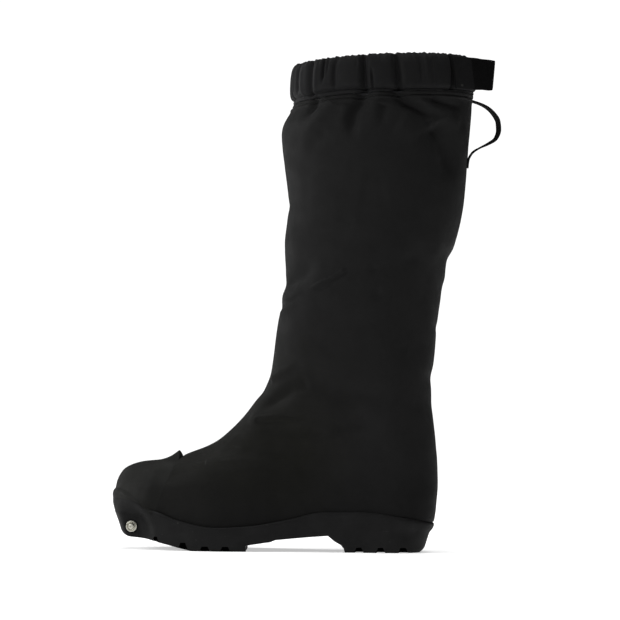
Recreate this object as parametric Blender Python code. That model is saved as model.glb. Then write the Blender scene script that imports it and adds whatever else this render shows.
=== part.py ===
"""Left cross-country ski boot with a knee-high gaiter shaft, standing on its sole.

Lengths in the tables are millimetres, and solid() makes each mesh in metres. Stations are measured
from the toe tip towards the heel. In the finished frame the toe points to -X, the outer side of the
foot to -Y, and Z is up from the floor. The origin is on the floor under the middle of the boot.
"""

import math

import bmesh
import bpy
from mathutils import Vector

MM = 0.001
ORIGIN_STATION = 182.0
FIT_GAP = 0.3

# Driving sizes of the boot
LENGTH = 305.0
WALL_FOOT = 3.4
WALL_SHAFT = 2.0
INSOLE_THICK = 4.0
INSOLE_ROUND = 1.0

# The two sides of the boot and the sign of Y on each
SIDES = (("lateral", -1.0), ("medial", 1.0))

# How finely the forms are faceted, and the step that a surface's normal is measured over
AROUND = 52
TOE_CROWDING = 0.14
STEPS_PER_SECTION = 2
COLLAR_AROUND = 84
SHARP_ANGLE = 35.0
NORMAL_STEP = 0.02

# Plan of the sole's widest edge: half widths are measured from the centre line, which swings inward at the toe
PLAN_COLUMNS = ("station", "centre", "lateral", "medial")
PLAN = (
    (0.0, 5.0, 37.0, 35.5),
    (30.0, 6.0, 44.5, 41.0),
    (65.0, 6.0, 52.0, 44.0),
    (100.0, 5.0, 57.0, 46.0),
    (130.0, 3.0, 52.0, 43.0),
    (165.0, 1.5, 42.0, 37.0),
    (200.0, 0.0, 37.0, 34.0),
    (240.0, 0.0, 37.5, 36.0),
    (275.0, 0.0, 38.5, 37.5),
    (305.0, 0.0, 38.0, 37.5),
)

# Heights along the boot: the sole's wavy top edge, and the floor that the insole lies on
RIM_COLUMNS = ("station", "rim")
RIM = (
    (0.0, 56.0),
    (12.0, 54.5),
    (28.0, 46.5),
    (38.0, 38.5),
    (50.0, 35.5),
    (70.0, 28.0),
    (105.0, 22.0),
    (135.0, 23.5),
    (170.0, 29.5),
    (206.0, 37.2),
    (238.0, 37.4),
    (275.0, 33.0),
    (305.0, 27.5),
)
FLOOR_COLUMNS = ("station", "floor")
FLOOR = (
    (0.0, 38.0),
    (30.0, 31.5),
    (60.0, 20.0),
    (100.0, 13.0),
    (130.0, 13.0),
    (170.0, 17.5),
    (205.0, 21.5),
    (305.0, 23.0),
)

# Sections of the upper, from the feather line inside the sole to the seam under the collar.
# Each is a closed curve in a plane through a front and a back point. nose and heel are the shares of its
# chord that round off, foot is how far its width follows the plan less trim, and half is the shaft's half width.
UPPER_COLUMNS = ("front", "front_z", "back", "back_z", "nose", "heel", "foot", "half", "trim")
UPPER = {
    "feather": (7.5, 38.0, 297.0, 23.0, 0.15, 0.13, 1.0, 45.0, 7.0),
    "rim": (4.2, 56.0, 302.6, 27.6, 0.15, 0.13, 1.0, 45.0, 3.4),
    "counter": (5.6, 62.5, 306.8, 48.0, 0.23, 0.13, 1.0, 45.0, 4.5),
    "toe_crown": (11.4, 73.0, 308.0, 67.0, 0.38, 0.135, 1.0, 44.0, 7.0),
    "vamp": (27.0, 79.8, 307.3, 86.0, 0.58, 0.145, 0.95, 43.0, 7.0),
    "cap_edge": (56.0, 83.2, 305.2, 106.0, 0.68, 0.18, 0.8, 42.5, 7.0),
    "instep": (84.5, 93.0, 303.2, 124.0, 0.68, 0.24, 0.55, 43.0, 6.0),
    "throat": (110.2, 111.0, 301.5, 141.0, 0.61, 0.32, 0.3, 44.0, 5.0),
    "ankle": (133.2, 136.5, 301.4, 158.0, 0.55, 0.40, 0.1, 45.5, 4.0),
    "shin": (150.0, 166.0, 303.0, 180.0, 0.51, 0.47, 0.0, 46.5, 4.0),
    "low_shaft": (155.0, 206.0, 306.0, 208.0, 0.5, 0.5, 0.0, 49.0, 4.0),
    "crease": (163.0, 256.0, 311.9, 258.0, 0.5, 0.5, 0.0, 53.5, 4.0),
    "calf": (161.8, 288.0, 322.4, 289.0, 0.5, 0.5, 0.0, 57.5, 4.0),
    "wide_calf": (165.2, 326.0, 330.4, 325.0, 0.5, 0.5, 0.0, 60.5, 4.0),
    "bulge": (158.2, 391.0, 336.0, 393.0, 0.5, 0.5, 0.0, 62.5, 4.0),
    "seam": (170.6, 418.8, 338.0, 428.0, 0.5, 0.5, 0.0, 57.5, 4.0),
}
RIM_ROW = list(UPPER).index("rim")
TOP_ROW = len(UPPER) - 1
WALL_FADE_ROWS = (1.0, 8.0)

# Outer face of the sole, from its top edge down to the floor. level is the share of the way down.
SOLE_COLUMNS = ("level", "toe_in", "heel_in", "side_in", "block")
SOLE = (
    (0.0, 0.9, 1.2, 0.7, 0.0),
    (0.06, 0.0, 0.6, 0.0, 0.0),
    (0.2, 0.2, 1.8, 0.2, 0.1),
    (0.36, 3.0, 4.8, 0.6, 1.0),
    (0.62, 8.4, 7.2, 1.6, 1.0),
    (0.86, 11.5, 9.6, 3.2, 1.0),
    (1.0, 13.0, 13.6, 5.6, 1.0),
)
SOLE_NOSE = 46.0
SOLE_HEEL = 39.0

# Toe block under the bumper: it holds the binding pins between two flat sides
BLOCK_HALF = 32.0
BLOCK_NOSE = 11.0
BLOCK_END = (30.0, 44.0)

# Profile of the underside: toe spring, then the arch with the heel's breast
TOE_SPRING = (
    (-30.0, 32.0),
    (7.0, 23.5),
    (11.0, 18.6),
    (16.0, 14.4),
    (22.0, 12.0),
    (29.0, 11.3),
    (40.0, 10.0),
    (53.0, 7.0),
    (64.0, 4.4),
    (74.0, 1.8),
    (83.0, 0.0),
)
ARCH = (
    (128.5, 5.6),
    (146.0, 8.2),
    (160.0, 10.8),
    (176.0, 12.4),
    (192.0, 13.9),
    (208.5, 15.2),
    (214.2, 10.4),
    (220.5, 6.8),
    (223.0, 3.6),
    (223.7, 0.0),
)
BELOW = -12.0
CUTTER_WIDTH = 150.0
ARCH_SWEEP = 0.105
ARCH_SWEEP_END = 150.0

# Grooves across the tread: each half runs back from the middle at its own sweep
GROOVE_COLUMNS = ("station", "width", "depth", "sweep")
GROOVES = (
    (42.8, 4.8, 3.4, 8.0),
    (68.6, 8.0, 4.4, 8.0),
    (89.0, 9.8, 4.5, 8.0),
    (108.0, 9.4, 4.5, 8.0),
    (237.0, 8.2, 4.8, 0.0),
    (257.0, 8.4, 4.8, 0.0),
    (277.5, 8.8, 4.8, 0.0),
)
GROOVE_FLOOR_SHARE = 0.55
GROOVE_OVERLAP = 1.0

# Grooves along the tread
LONG_GROOVE_COLUMNS = ("start", "end", "y")
LONG_GROOVES = (
    (33.0, 140.0, 16.0),
    (33.0, 140.0, -16.0),
    (218.0, 285.0, 0.0),
)
LONG_GROOVE_WIDTH = 5.0
LONG_GROOVE_DEPTH = 4.0

# Binding pins at the toe: a steel bushing in each side of the sole's toe block, with a stud in it
PIN_STATION = 23.3
PIN_HEIGHT = 21.6
PIN_CENTRE_Y = 5.7
COUNTERBORE_RADIUS = 6.6
COUNTERBORE_DEPTH = 1.2
BORE_OVERSHOOT = 5.0
BUSHING_RADIUS = 5.2
BUSHING_DEPTH = 5.5
BUSHING_PROUD = 0.6
BUSHING_CHAMFER = 0.4
BUSHING_BORE = 3.9
BUSHING_BORE_DEPTH = 1.8
STUD_RADIUS = 2.8
STUD_PROUD = 2.6
STUD_CHAMFER = 0.8
ROUND_SIDES = 20

# Toe cap: a rubber shell over the upper's toe, whose back edge lifts off the instep
CAP_SUNK = 1.2
CAP_OUTSIDE = 2.1
CAP_OVER_RIM = 1.4
CAP_EDGE_TOP = (66.8, 88.0)
CAP_EDGE_FOOT = (48.0, 36.0)
CAP_LIFT = 6.8
CAP_LIFT_FROM = 43.0
CAP_LIFT_HALF_WIDTH = 26.0
CAP_FIRST_ROW = 0.07
CAP_LAST_STATION = 66.0
CAP_FORM_PAST = 1.5
CAP_ROWS = 12
CAP_ACROSS = 22
CAP_TURN_ROUNDS = 12

# Collar: an elastic casing gathered into folds, above a flat seam. up is the share of its height.
COLLAR_FRONT = ((170.6, 419.4), (171.8, 456.0))
COLLAR_BACK = ((337.8, 428.6), (333.4, 463.2))
COLLAR_HALF = (57.3, 55.5)
COLLAR_COLUMNS = ("up", "out", "gather")
COLLAR_PROFILE = (
    (0.0, 0.0, 0.0),
    (0.05, 1.2, 0.1),
    (0.12, 1.0, 0.3),
    (0.24, 4.2, 0.8),
    (0.55, 5.0, 1.0),
    (0.86, 3.8, 0.9),
    (1.0, 0.4, 0.5),
    (0.97, -2.4, 0.3),
    (0.5, -3.6, 0.6),
    (0.06, -3.0, 0.2),
    (0.0, -2.0, 0.0),
)
GATHERS = 21
GATHER_DEPTH = 1.3
FLAT_AT = 150.0
FLAT_TURNS = (0.42, 0.62)

# Closure strap: its root lies on the collar's outer rear quarter and its end stands out behind.
# turn goes round the collar in degrees from the toe, and the offs are distances from the collar's own line.
STRAP_COLUMNS = ("turn", "low_off", "high_off", "low", "high")
STRAP = (
    (139.5, 6.7, 6.7, 429.0, 459.4),
    (144.0, 6.7, 6.7, 429.0, 459.8),
    (152.0, 6.9, 6.9, 429.2, 460.2),
    (159.0, 8.0, 8.0, 429.8, 460.6),
    (165.0, 10.6, 11.0, 430.7, 461.0),
    (169.5, 13.8, 15.4, 431.3, 460.6),
    (172.5, 16.8, 19.6, 431.3, 460.6),
    (174.5, 19.6, 25.6, 431.8, 459.8),
)
STRAP_THICK = 2.4
STRAP_SMOOTH = 2

# Pull loop: a flat tape behind the shaft, in the boot's middle plane
LOOP_PATH = (
    (338.2, 422.8),
    (345.0, 420.4),
    (351.8, 416.8),
    (358.3, 410.6),
    (362.4, 403.0),
    (363.0, 395.4),
    (360.4, 387.6),
    (353.0, 382.4),
    (345.6, 378.8),
    (339.4, 373.8),
    (335.9, 367.0),
    (335.0, 359.0),
)
LOOP_WIDTH = 10.0
LOOP_THICK = 2.0
LOOP_TWIST = 22.0
LOOP_STEPS = 26


class Curve:
    """A smooth curve through a table column that never overshoots between two rows."""

    def __init__(self, knots, values):
        self.knots = knots
        self.values = values
        steps = [b - a for a, b in zip(knots, knots[1:])]
        rises = [(b - a) / h for a, b, h in zip(values, values[1:], steps)]
        self.slopes = [rises[0]]
        for before, after in zip(rises, rises[1:]):
            same_way = before * after > 0
            self.slopes.append(2 * before * after / (before + after) if same_way else 0.0)
        self.slopes.append(rises[-1])

    def __call__(self, at):
        last = len(self.knots) - 2
        at = min(max(at, self.knots[0]), self.knots[-1])
        row = 0
        while row < last and at > self.knots[row + 1]:
            row += 1
        step = self.knots[row + 1] - self.knots[row]
        part = (at - self.knots[row]) / step
        start = (1 + 2 * part) * (1 - part) ** 2 * self.values[row]
        end = part * part * (3 - 2 * part) * self.values[row + 1]
        leave = part * (1 - part) ** 2 * step * self.slopes[row]
        arrive = part * part * (part - 1) * step * self.slopes[row + 1]
        return start + end + leave + arrive


def curves(columns, rows, knots=None):
    """One Curve for each named column, over the first column or over the given knots."""
    by_column = list(zip(*rows))
    knots = list(by_column[0]) if knots is None else knots
    return {name: Curve(knots, list(values)) for name, values in zip(columns, by_column)}


PLAN_AT = curves(PLAN_COLUMNS, PLAN)
RIM_AT = curves(RIM_COLUMNS, RIM)["rim"]
FLOOR_AT = curves(FLOOR_COLUMNS, FLOOR)["floor"]
UPPER_AT = curves(UPPER_COLUMNS, UPPER.values(), list(range(len(UPPER))))


def between(a, b, share):
    return a + (b - a) * share


def ease(share):
    """0 below 0, 1 above 1, and smooth between them."""
    share = min(max(share, 0.0), 1.0)
    return share * share * (3 - 2 * share)


def rounding(distance, length):
    """A quarter ellipse: 0 at the end of a form, and 1 from length inwards."""
    share = min(max(distance / length, 0.0), 1.0)
    return math.sqrt(share * (2 - share))


def side_of(theta):
    """The table column and the sign of Y for an angle that starts at the toe and goes round by the outer side."""
    return SIDES[0] if theta <= math.pi else SIDES[1]


def upper_point(row, theta):
    """A point on the outer face of the upper: row counts the sections, theta turns from the front point."""
    section = {name: curve(row) for name, curve in UPPER_AT.items()}
    side, sign = side_of(theta)
    share = (1 - math.cos(theta)) / 2
    chord = section["back"] - section["front"]
    station = section["front"] + chord * share
    height = between(section["front_z"], section["back_z"], share)
    if row < RIM_ROW + 1:
        edge = between(FLOOR_AT(station), RIM_AT(station), min(row, 1.0))
        height = between(edge, height, ease(row - RIM_ROW))
    ends = rounding(share, section["nose"]) * rounding(1 - share, section["heel"])
    on_plan = PLAN_AT[side](station) - section["trim"]
    half = between(section["half"], on_plan, section["foot"]) * ends
    middle = PLAN_AT["centre"](station) * min(1.0, section["foot"] * 1.5)
    return Vector((station, middle + sign * half, height))


def upper_normal(row, theta):
    """The unit vector that points out of the upper at a point of its outer face."""
    low, high = max(row - NORMAL_STEP, 0.0), min(row + NORMAL_STEP, TOP_ROW)
    along = upper_point(high, theta) - upper_point(low, theta)
    ahead = upper_point(row, (theta + NORMAL_STEP) % (2 * math.pi))
    behind = upper_point(row, (theta - NORMAL_STEP) % (2 * math.pi))
    return (ahead - behind).cross(along).normalized()


def upper_offset(row, theta, out, level=False):
    """A point at a distance out from the upper's outer face. level keeps it at the same height."""
    point = upper_point(row, theta)
    normal = upper_normal(row, theta)
    if level:
        normal = Vector((normal.x, normal.y, 0.0)).normalized()
    return point + normal * out


def angles(count):
    return [2 * math.pi * step / count for step in range(count)]


def plan_angles():
    """The turns of a ring of the upper or the sole, closer together towards the toe."""
    return [turn - TOE_CROWDING * math.sin(turn) for turn in angles(AROUND)]


def upper_ring(row, out=0.0, level=False):
    return [upper_offset(row, theta, out, level) for theta in plan_angles()]


def wall_at(row):
    """Thickness of the upper's wall at a section: it thins out from the foot to the shaft."""
    first, last = WALL_FADE_ROWS
    return between(WALL_FOOT, WALL_SHAFT, ease((row - first) / (last - first)))


def height_of(loop):
    """Orders two rings, so that forms which fit each other split their facets the same way."""
    return sum(vertex.co.z for vertex in loop)


def solid(name, rings, material, closed=False, location=(0.0, 0.0, 0.0)):
    """A solid lofted through rings of the same count. closed joins the last ring to the first; otherwise
    each end is filled by strips between the two sides of its ring."""
    mesh = bpy.data.meshes.new(name)
    made = bmesh.new()
    shift = Vector((ORIGIN_STATION, 0.0, 0.0)) + Vector(location)
    loops = [[made.verts.new((point - shift) * MM) for point in ring] for ring in rings]
    count = len(loops[0])
    pairs = list(zip(loops, loops[1:]))
    if closed:
        pairs.append((loops[-1], loops[0]))
    for pair in pairs:
        lower, upper = sorted(pair, key=height_of)
        for step in range(count):
            following = (step + 1) % count
            made.faces.new((lower[step], lower[following], upper[following]))
            made.faces.new((lower[step], upper[following], upper[step]))
    if not closed:
        for loop in (loops[0], loops[-1]):
            fill_across(made, loop)
    bmesh.ops.recalc_face_normals(made, faces=made.faces)
    made.to_mesh(mesh)
    made.free()
    mesh.shade_smooth()
    mesh.set_sharp_from_angle(angle=math.radians(SHARP_ANGLE))
    mesh.materials.append(material)
    model = bpy.data.objects.new(name, mesh)
    model.location = Vector(location) * MM
    bpy.context.scene.collection.objects.link(model)
    return model


def as_cutter(model):
    """Marks an object that only cuts another, and isn't a piece of the boot."""
    model.hide_render = True
    model.display_type = "WIRE"
    return model


def fill_across(made, loop):
    """Fills a ring whose two sides mirror each other's order, with strips from side to side."""
    count = len(loop)
    half = count // 2
    for step in range(half):
        corners = (loop[step], loop[step + 1], loop[(count - step - 1) % count], loop[(count - step) % count])
        distinct = list(dict.fromkeys(corners))
        made.faces.new(distinct)


def prism(name, outline, depth, middle=0.0):
    """A cutter along Y from an outline of (station, height) points."""
    ends = [[Vector((x, middle + side * depth, z)) for x, z in outline] for side in (-0.5, 0.5)]
    mesh = bpy.data.meshes.new(name)
    made = bmesh.new()
    shift = Vector((ORIGIN_STATION, 0.0, 0.0))
    loops = [[made.verts.new((point - shift) * MM) for point in end] for end in ends]
    count = len(outline)
    for step in range(count):
        following = (step + 1) % count
        made.faces.new((loops[0][step], loops[0][following], loops[1][following], loops[1][step]))
    for loop in loops:
        made.faces.new(loop)
    bmesh.ops.recalc_face_normals(made, faces=made.faces)
    made.to_mesh(mesh)
    made.free()
    model = bpy.data.objects.new(name, mesh)
    bpy.context.scene.collection.objects.link(model)
    return as_cutter(model)


def turned(profile, sides):
    """Rings of a form turned about Y from (radius, y) rows."""
    rings = []
    for radius, y in profile:
        rings.append([Vector((radius * math.cos(a), y, radius * math.sin(a))) for a in angles(sides)])
    return rings


def round_cutter(name, radius, start, end):
    """A round bar along Y at the binding pins' axis."""
    centre = Vector((PIN_STATION, 0.0, PIN_HEIGHT))
    bar = turned(((radius, start), (radius, end)), ROUND_SIDES)
    rings = [[point + centre for point in ring] for ring in bar]
    return as_cutter(solid(name, rings, None))


def cut(model, cutter):
    modifier = model.modifiers.new(cutter.name, "BOOLEAN")
    modifier.operation = "DIFFERENCE"
    modifier.object = cutter
    modifier.solver = "EXACT"


def groove_outline(station, width, depth, roof):
    """A groove's section: wide at the tread and narrower at its floor."""
    half = width / 2
    floor = half * GROOVE_FLOOR_SHARE
    return ((station - half, roof + BELOW), (station - half, roof), (station - floor, roof + depth),
            (station + floor, roof + depth), (station + half, roof), (station + half, roof + BELOW))


def tread_height(station):
    """Height of the lugs' tips over the floor at a station of the toe spring."""
    points = TOE_SPRING
    for (x0, z0), (x1, z1) in zip(points, points[1:]):
        if x0 <= station <= x1:
            return between(z0, z1, (station - x0) / (x1 - x0))
    return 0.0


def tread_cutters():
    """The grooves between the lugs: swept halves across the forefoot, straight ones across the heel."""
    cutters = []
    reach = CUTTER_WIDTH / 2
    for row in GROOVES:
        groove = dict(zip(GROOVE_COLUMNS, row))
        name = f"groove_{groove['station']:.0f}"
        roof = tread_height(groove["station"])
        outline = groove_outline(groove["station"], groove["width"], groove["depth"], roof)
        if not groove["sweep"]:
            cutters.append(prism(name, outline, CUTTER_WIDTH))
            continue
        for side, sign in SIDES:
            cutter = prism(f"{name}_{side}", outline, reach, sign * (reach / 2 - GROOVE_OVERLAP))
            slope = sign * math.tan(math.radians(groove["sweep"]))
            for vertex in cutter.data.vertices:
                vertex.co.x += vertex.co.y * slope
            cutters.append(cutter)
    for row in LONG_GROOVES:
        groove = dict(zip(LONG_GROOVE_COLUMNS, row))
        stations = [groove["start"], (groove["start"] + groove["end"]) / 2, groove["end"]]
        roofs = [tread_height(station) + LONG_GROOVE_DEPTH for station in stations]
        outline = [(stations[0], BELOW)] + list(zip(stations, roofs)) + [(stations[-1], BELOW)]
        name = f"long_groove_{groove['start']:.0f}_{groove['y']:.0f}"
        cutters.append(prism(name, outline, LONG_GROOVE_WIDTH, groove["y"]))
    return cutters


def sole_ring(level_row):
    """One ring of the sole's outer face."""
    row = dict(zip(SOLE_COLUMNS, level_row))
    front, back = row["toe_in"], LENGTH - row["heel_in"]
    ring = []
    for theta in plan_angles():
        side, sign = side_of(theta)
        station = between(front, back, (1 - math.cos(theta)) / 2)
        ends = rounding(station - front, SOLE_NOSE) * rounding(back - station, SOLE_HEEL)
        half = (PLAN_AT[side](station) - row["side_in"]) * ends
        block = BLOCK_HALF * rounding(station - front, BLOCK_NOSE)
        weight = row["block"] * ease((BLOCK_END[1] - station) / (BLOCK_END[1] - BLOCK_END[0]))
        half = between(half, block, weight)
        height = RIM_AT(station) * (1 - row["level"])
        ring.append(Vector((station, PLAN_AT["centre"](station) + sign * half, height)))
    return ring


def cup_rows():
    """The section rows that the upper and the sole's cup share, so that their facets match."""
    return [step / (STEPS_PER_SECTION + 1) for step in range(STEPS_PER_SECTION + 2)]


def pin_bores():
    """The stepped hole for a binding pin in each side of the toe block."""
    cutters = []
    for side, sign in SIDES:
        face = PIN_CENTRE_Y + sign * BLOCK_HALF
        beyond = face + sign * BORE_OVERSHOOT
        floor = face - sign * COUNTERBORE_DEPTH
        cutters.append(round_cutter(f"counterbore_{side}", COUNTERBORE_RADIUS, floor, beyond))
        floor = face - sign * (BUSHING_DEPTH + FIT_GAP)
        cutters.append(round_cutter(f"bore_{side}", BUSHING_RADIUS + FIT_GAP, floor, beyond))
    return cutters


def underside_cutter(name, profile):
    """Takes away what lies under a profile of the sole's underside."""
    return prism(name, [(profile[0][0], BELOW), *profile, (profile[-1][0], BELOW)], CUTTER_WIDTH)


def arch_cutter():
    """The arch, whose front edge runs back towards the outer side."""
    cutter = underside_cutter("arch", ARCH)
    sweep_end = (ARCH_SWEEP_END - ORIGIN_STATION) * MM
    for vertex in cutter.data.vertices:
        if vertex.co.x < sweep_end:
            vertex.co.x -= vertex.co.y * ARCH_SWEEP
    return cutter


def build_sole(rubber):
    outside = [sole_ring(row) for row in reversed(SOLE)]
    inside = [upper_ring(row, FIT_GAP, level=True) for row in reversed(cup_rows())]
    for point in inside[-1]:
        point.z -= FIT_GAP
    sole = solid("sole", outside + inside, rubber)
    for cutter in [*pin_bores(), underside_cutter("toe_spring", TOE_SPRING), arch_cutter(), *tread_cutters()]:
        cut(sole, cutter)
    return sole


def upper_rows():
    """All the section rows of the upper, from the feather line to the seam."""
    count = STEPS_PER_SECTION * (TOP_ROW - RIM_ROW)
    return cup_rows() + [between(RIM_ROW, TOP_ROW, (step + 1) / count) for step in range(count)]


def build_upper(fabric):
    rows = upper_rows()
    outside = [upper_ring(row) for row in rows]
    inner_rows = rows[:1] + rows[1:-1:2] + rows[-1:]
    inside = []
    for row in inner_rows:
        at_end = row in (rows[0], rows[-1])
        inside.append(upper_ring(row, -wall_at(row), level=at_end))
    return solid("upper", outside + inside[::-1], fabric, closed=True)


def build_insole(felt):
    """A felt sheet on the sole's floor, with a rounded upper edge."""
    rings = []
    edge = 2 * FIT_GAP
    profile = ((edge, 0.0), (edge, INSOLE_THICK - INSOLE_ROUND), (edge + INSOLE_ROUND, INSOLE_THICK))
    for inset, lift in profile:
        ring = upper_ring(0.0, -(WALL_FOOT + inset), level=True)
        rings.append([Vector((point.x, point.y, FLOOR_AT(point.x) + lift)) for point in ring])
    return solid("insole", rings, felt)


def cap_edge_station(height):
    """Where the toe cap's back edge lies at a height."""
    (top_x, top_z), (foot_x, foot_z) = CAP_EDGE_TOP, CAP_EDGE_FOOT
    return between(foot_x, top_x, min(max((height - foot_z) / (top_z - foot_z), 0.0), 1.0))


def cap_turn(row):
    """The angle from the toe at which a section meets the cap's back edge, found in a few rounds."""
    front, back = UPPER_AT["front"](row), UPPER_AT["back"](row)
    theta = 0.0
    for _ in range(CAP_TURN_ROUNDS):
        station = cap_edge_station(upper_point(row, theta).z)
        share = min(max((station - front) / (back - front), 0.0), 1.0)
        theta = math.acos(1 - 2 * share)
    return theta


def cap_outside(row, theta):
    """How far the cap's outer face stands off the upper: its lip lifts along the ridge, steepest at its edge."""
    point = upper_point(row, theta)
    along = 2 * ease((point.x - CAP_LIFT_FROM) / (CAP_EDGE_TOP[0] - CAP_LIFT_FROM) / 2)
    across = ease(1 - abs(point.y - PLAN_AT["centre"](point.x)) / CAP_LIFT_HALF_WIDTH)
    return CAP_OUTSIDE + CAP_LIFT * along * across


def cap_last_row():
    """The section whose front point lies at the end of the cap's ridge."""
    low, high = float(RIM_ROW), float(TOP_ROW)
    for _ in range(CAP_TURN_ROUNDS):
        middle = (low + high) / 2
        if UPPER_AT["front"](middle) < CAP_LAST_STATION:
            low = middle
        else:
            high = middle
    return low


def build_toe_cap(rubber):
    """A shell on the upper's own sections, from the sole's edge up over the toe to the lifted back edge."""
    last = cap_last_row()
    rings = []
    for step in range(CAP_ROWS + 1):
        row = between(RIM_ROW + CAP_FIRST_ROW, last, math.sin(step / CAP_ROWS * math.pi / 2))
        reach = cap_turn(row)
        turns = [between(-reach, reach, k / CAP_ACROSS) % (2 * math.pi) for k in range(CAP_ACROSS + 1)]
        outer = [upper_offset(row, theta, cap_outside(row, theta)) for theta in turns]
        inner = [upper_offset(row, theta, -CAP_SUNK) for theta in turns]
        ring = outer + inner[::-1]
        for point in ring:
            point.z = max(point.z, RIM_AT(point.x) + CAP_OVER_RIM)
        rings.append(ring)
    cap = solid("toe_cap", rings, rubber)
    toe_rows = [row for row in upper_rows() if row < last + CAP_FORM_PAST]
    toe_form = solid("toe_form", [upper_ring(row, FIT_GAP) for row in toe_rows], None)
    cut(cap, as_cutter(toe_form))
    return cap


def collar_point(theta, up, out, gather):
    """A point of the collar: an ellipse that leans with the shaft, with folds all round."""
    front = [between(*pair, up) for pair in zip(*COLLAR_FRONT)]
    back = [between(*pair, up) for pair in zip(*COLLAR_BACK)]
    share = (1 - math.cos(theta)) / 2
    station = between(front[0], back[0], share)
    height = between(front[1], back[1], share)
    half = between(*COLLAR_HALF, up)
    radial = Vector((-math.cos(theta) * half, -math.sin(theta) * (back[0] - front[0]) / 2, 0.0)).normalized()
    flat = ease((FLAT_TURNS[1] - abs(theta - math.radians(FLAT_AT))) / (FLAT_TURNS[1] - FLAT_TURNS[0]))
    fold = GATHER_DEPTH * gather * (1 - flat) * (abs(math.cos(GATHERS * theta / 2)) - 0.5)
    return Vector((station, -math.sin(theta) * half, height)) + radial * (out + fold)


def build_collar(fabric):
    rings = []
    for row in COLLAR_PROFILE:
        section = dict(zip(COLLAR_COLUMNS, row))
        rings.append([collar_point(theta, **section) for theta in angles(COLLAR_AROUND)])
    return solid("collar", rings, fabric, closed=True)


def smooth_path(points, count):
    """Points at equal parameter steps on a smooth curve through the path."""
    knots = list(range(len(points)))
    axes = [Curve(knots, list(values)) for values in zip(*points)]
    steps = [knots[-1] * step / (count - 1) for step in range(count)]
    return [tuple(axis(step) for axis in axes) for step in steps]


def strap_point(turn, off, height):
    """A point at a height, beside the collar's line at a turn in degrees."""
    theta = math.radians(turn)
    share = (1 - math.cos(theta)) / 2
    low, high = (between(COLLAR_FRONT[end][1], COLLAR_BACK[end][1], share) for end in (0, 1))
    return collar_point(theta, (height - low) / (high - low), off, 0.0)


def build_strap(webbing):
    """A flat band on edge, whose lower and upper edges are both worked out from the collar."""
    rows = smooth_path(STRAP, STRAP_SMOOTH * (len(STRAP) - 1) + 1)
    half = STRAP_THICK / 2
    rings = []
    for row in rows:
        at = dict(zip(STRAP_COLUMNS, row))
        edges = (("low_off", "low"), ("high_off", "high"))
        rings.append([strap_point(at["turn"], at[off] + half, at[z]) for off, z in edges]
                     + [strap_point(at["turn"], at[off] - half, at[z]) for off, z in reversed(edges)])
    return solid("closure_strap", rings, webbing)


def build_loop(webbing):
    """A flat tape bent in the middle plane, which twists a little on its way down."""
    path = smooth_path(LOOP_PATH, LOOP_STEPS)
    rings = []
    for index, (x, z) in enumerate(path):
        before, after = path[max(index - 1, 0)], path[min(index + 1, len(path) - 1)]
        along = Vector((after[0] - before[0], 0.0, after[1] - before[1])).normalized()
        share = index / (len(path) - 1)
        twist = math.radians(LOOP_TWIST) * math.sin(math.pi * share) ** 2
        outward = Vector((along.z, 0.0, -along.x))
        wide = Vector((0.0, 1.0, 0.0)) * math.cos(twist) + outward * math.sin(twist)
        thick = outward * math.cos(twist) - Vector((0.0, 1.0, 0.0)) * math.sin(twist)
        centre = Vector((x, 0.0, z))
        half_wide = wide * LOOP_WIDTH / 2
        half_thick = thick * LOOP_THICK / 2
        corners = ((1, 1), (-1, 1), (-1, -1), (1, -1))
        rings.append([centre + half_wide * a + half_thick * b for a, b in corners])
    return solid("pull_loop", rings, webbing)


def build_pin(side, sign, steel):
    """A steel bushing with a chamfered stud in its recess, turned about its own axis."""
    face = PIN_CENTRE_Y + sign * BLOCK_HALF
    profile = (
        (BUSHING_RADIUS, -BUSHING_DEPTH),
        (BUSHING_RADIUS, BUSHING_PROUD - BUSHING_CHAMFER),
        (BUSHING_RADIUS - BUSHING_CHAMFER, BUSHING_PROUD),
        (BUSHING_BORE, BUSHING_PROUD),
        (BUSHING_BORE, BUSHING_PROUD - BUSHING_BORE_DEPTH),
        (STUD_RADIUS, BUSHING_PROUD - BUSHING_BORE_DEPTH),
        (STUD_RADIUS, BUSHING_PROUD + STUD_PROUD - STUD_CHAMFER),
        (STUD_RADIUS - STUD_CHAMFER, BUSHING_PROUD + STUD_PROUD),
    )
    centre = Vector((PIN_STATION, face, PIN_HEIGHT))
    rings = turned([(radius, sign * y) for radius, y in profile], ROUND_SIDES)
    rings = [[point + centre for point in ring] for ring in rings]
    return solid(f"binding_pin_{side}", rings, steel, location=centre - Vector((ORIGIN_STATION, 0.0, 0.0)))


def material(name, colour, roughness, metallic=0.0):
    made = bpy.data.materials.new(name)
    made.use_nodes = True
    shader = made.node_tree.nodes["Principled BSDF"]
    shader.inputs["Base Color"].default_value = (*colour, 1.0)
    shader.inputs["Roughness"].default_value = roughness
    shader.inputs["Metallic"].default_value = metallic
    made.diffuse_color = (*colour, 1.0)
    return made


def main():
    for model in list(bpy.data.objects):
        bpy.data.objects.remove(model)
    rubber = material("sole_rubber", (0.012, 0.012, 0.012), 0.6)
    cap_rubber = material("toe_rubber", (0.013, 0.013, 0.013), 0.55)
    fabric = material("gaiter_fabric", (0.010, 0.010, 0.011), 0.8)
    webbing = material("webbing", (0.006, 0.006, 0.006), 0.85)
    felt = material("insole_felt", (0.06, 0.06, 0.065), 0.95)
    steel = material("pin_steel", (0.55, 0.54, 0.5), 0.35, 1.0)
    build_sole(rubber)
    build_upper(fabric)
    build_insole(felt)
    build_toe_cap(cap_rubber)
    build_collar(fabric)
    build_strap(webbing)
    build_loop(webbing)
    for side, sign in SIDES:
        build_pin(side, sign, steel)


main()
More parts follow.
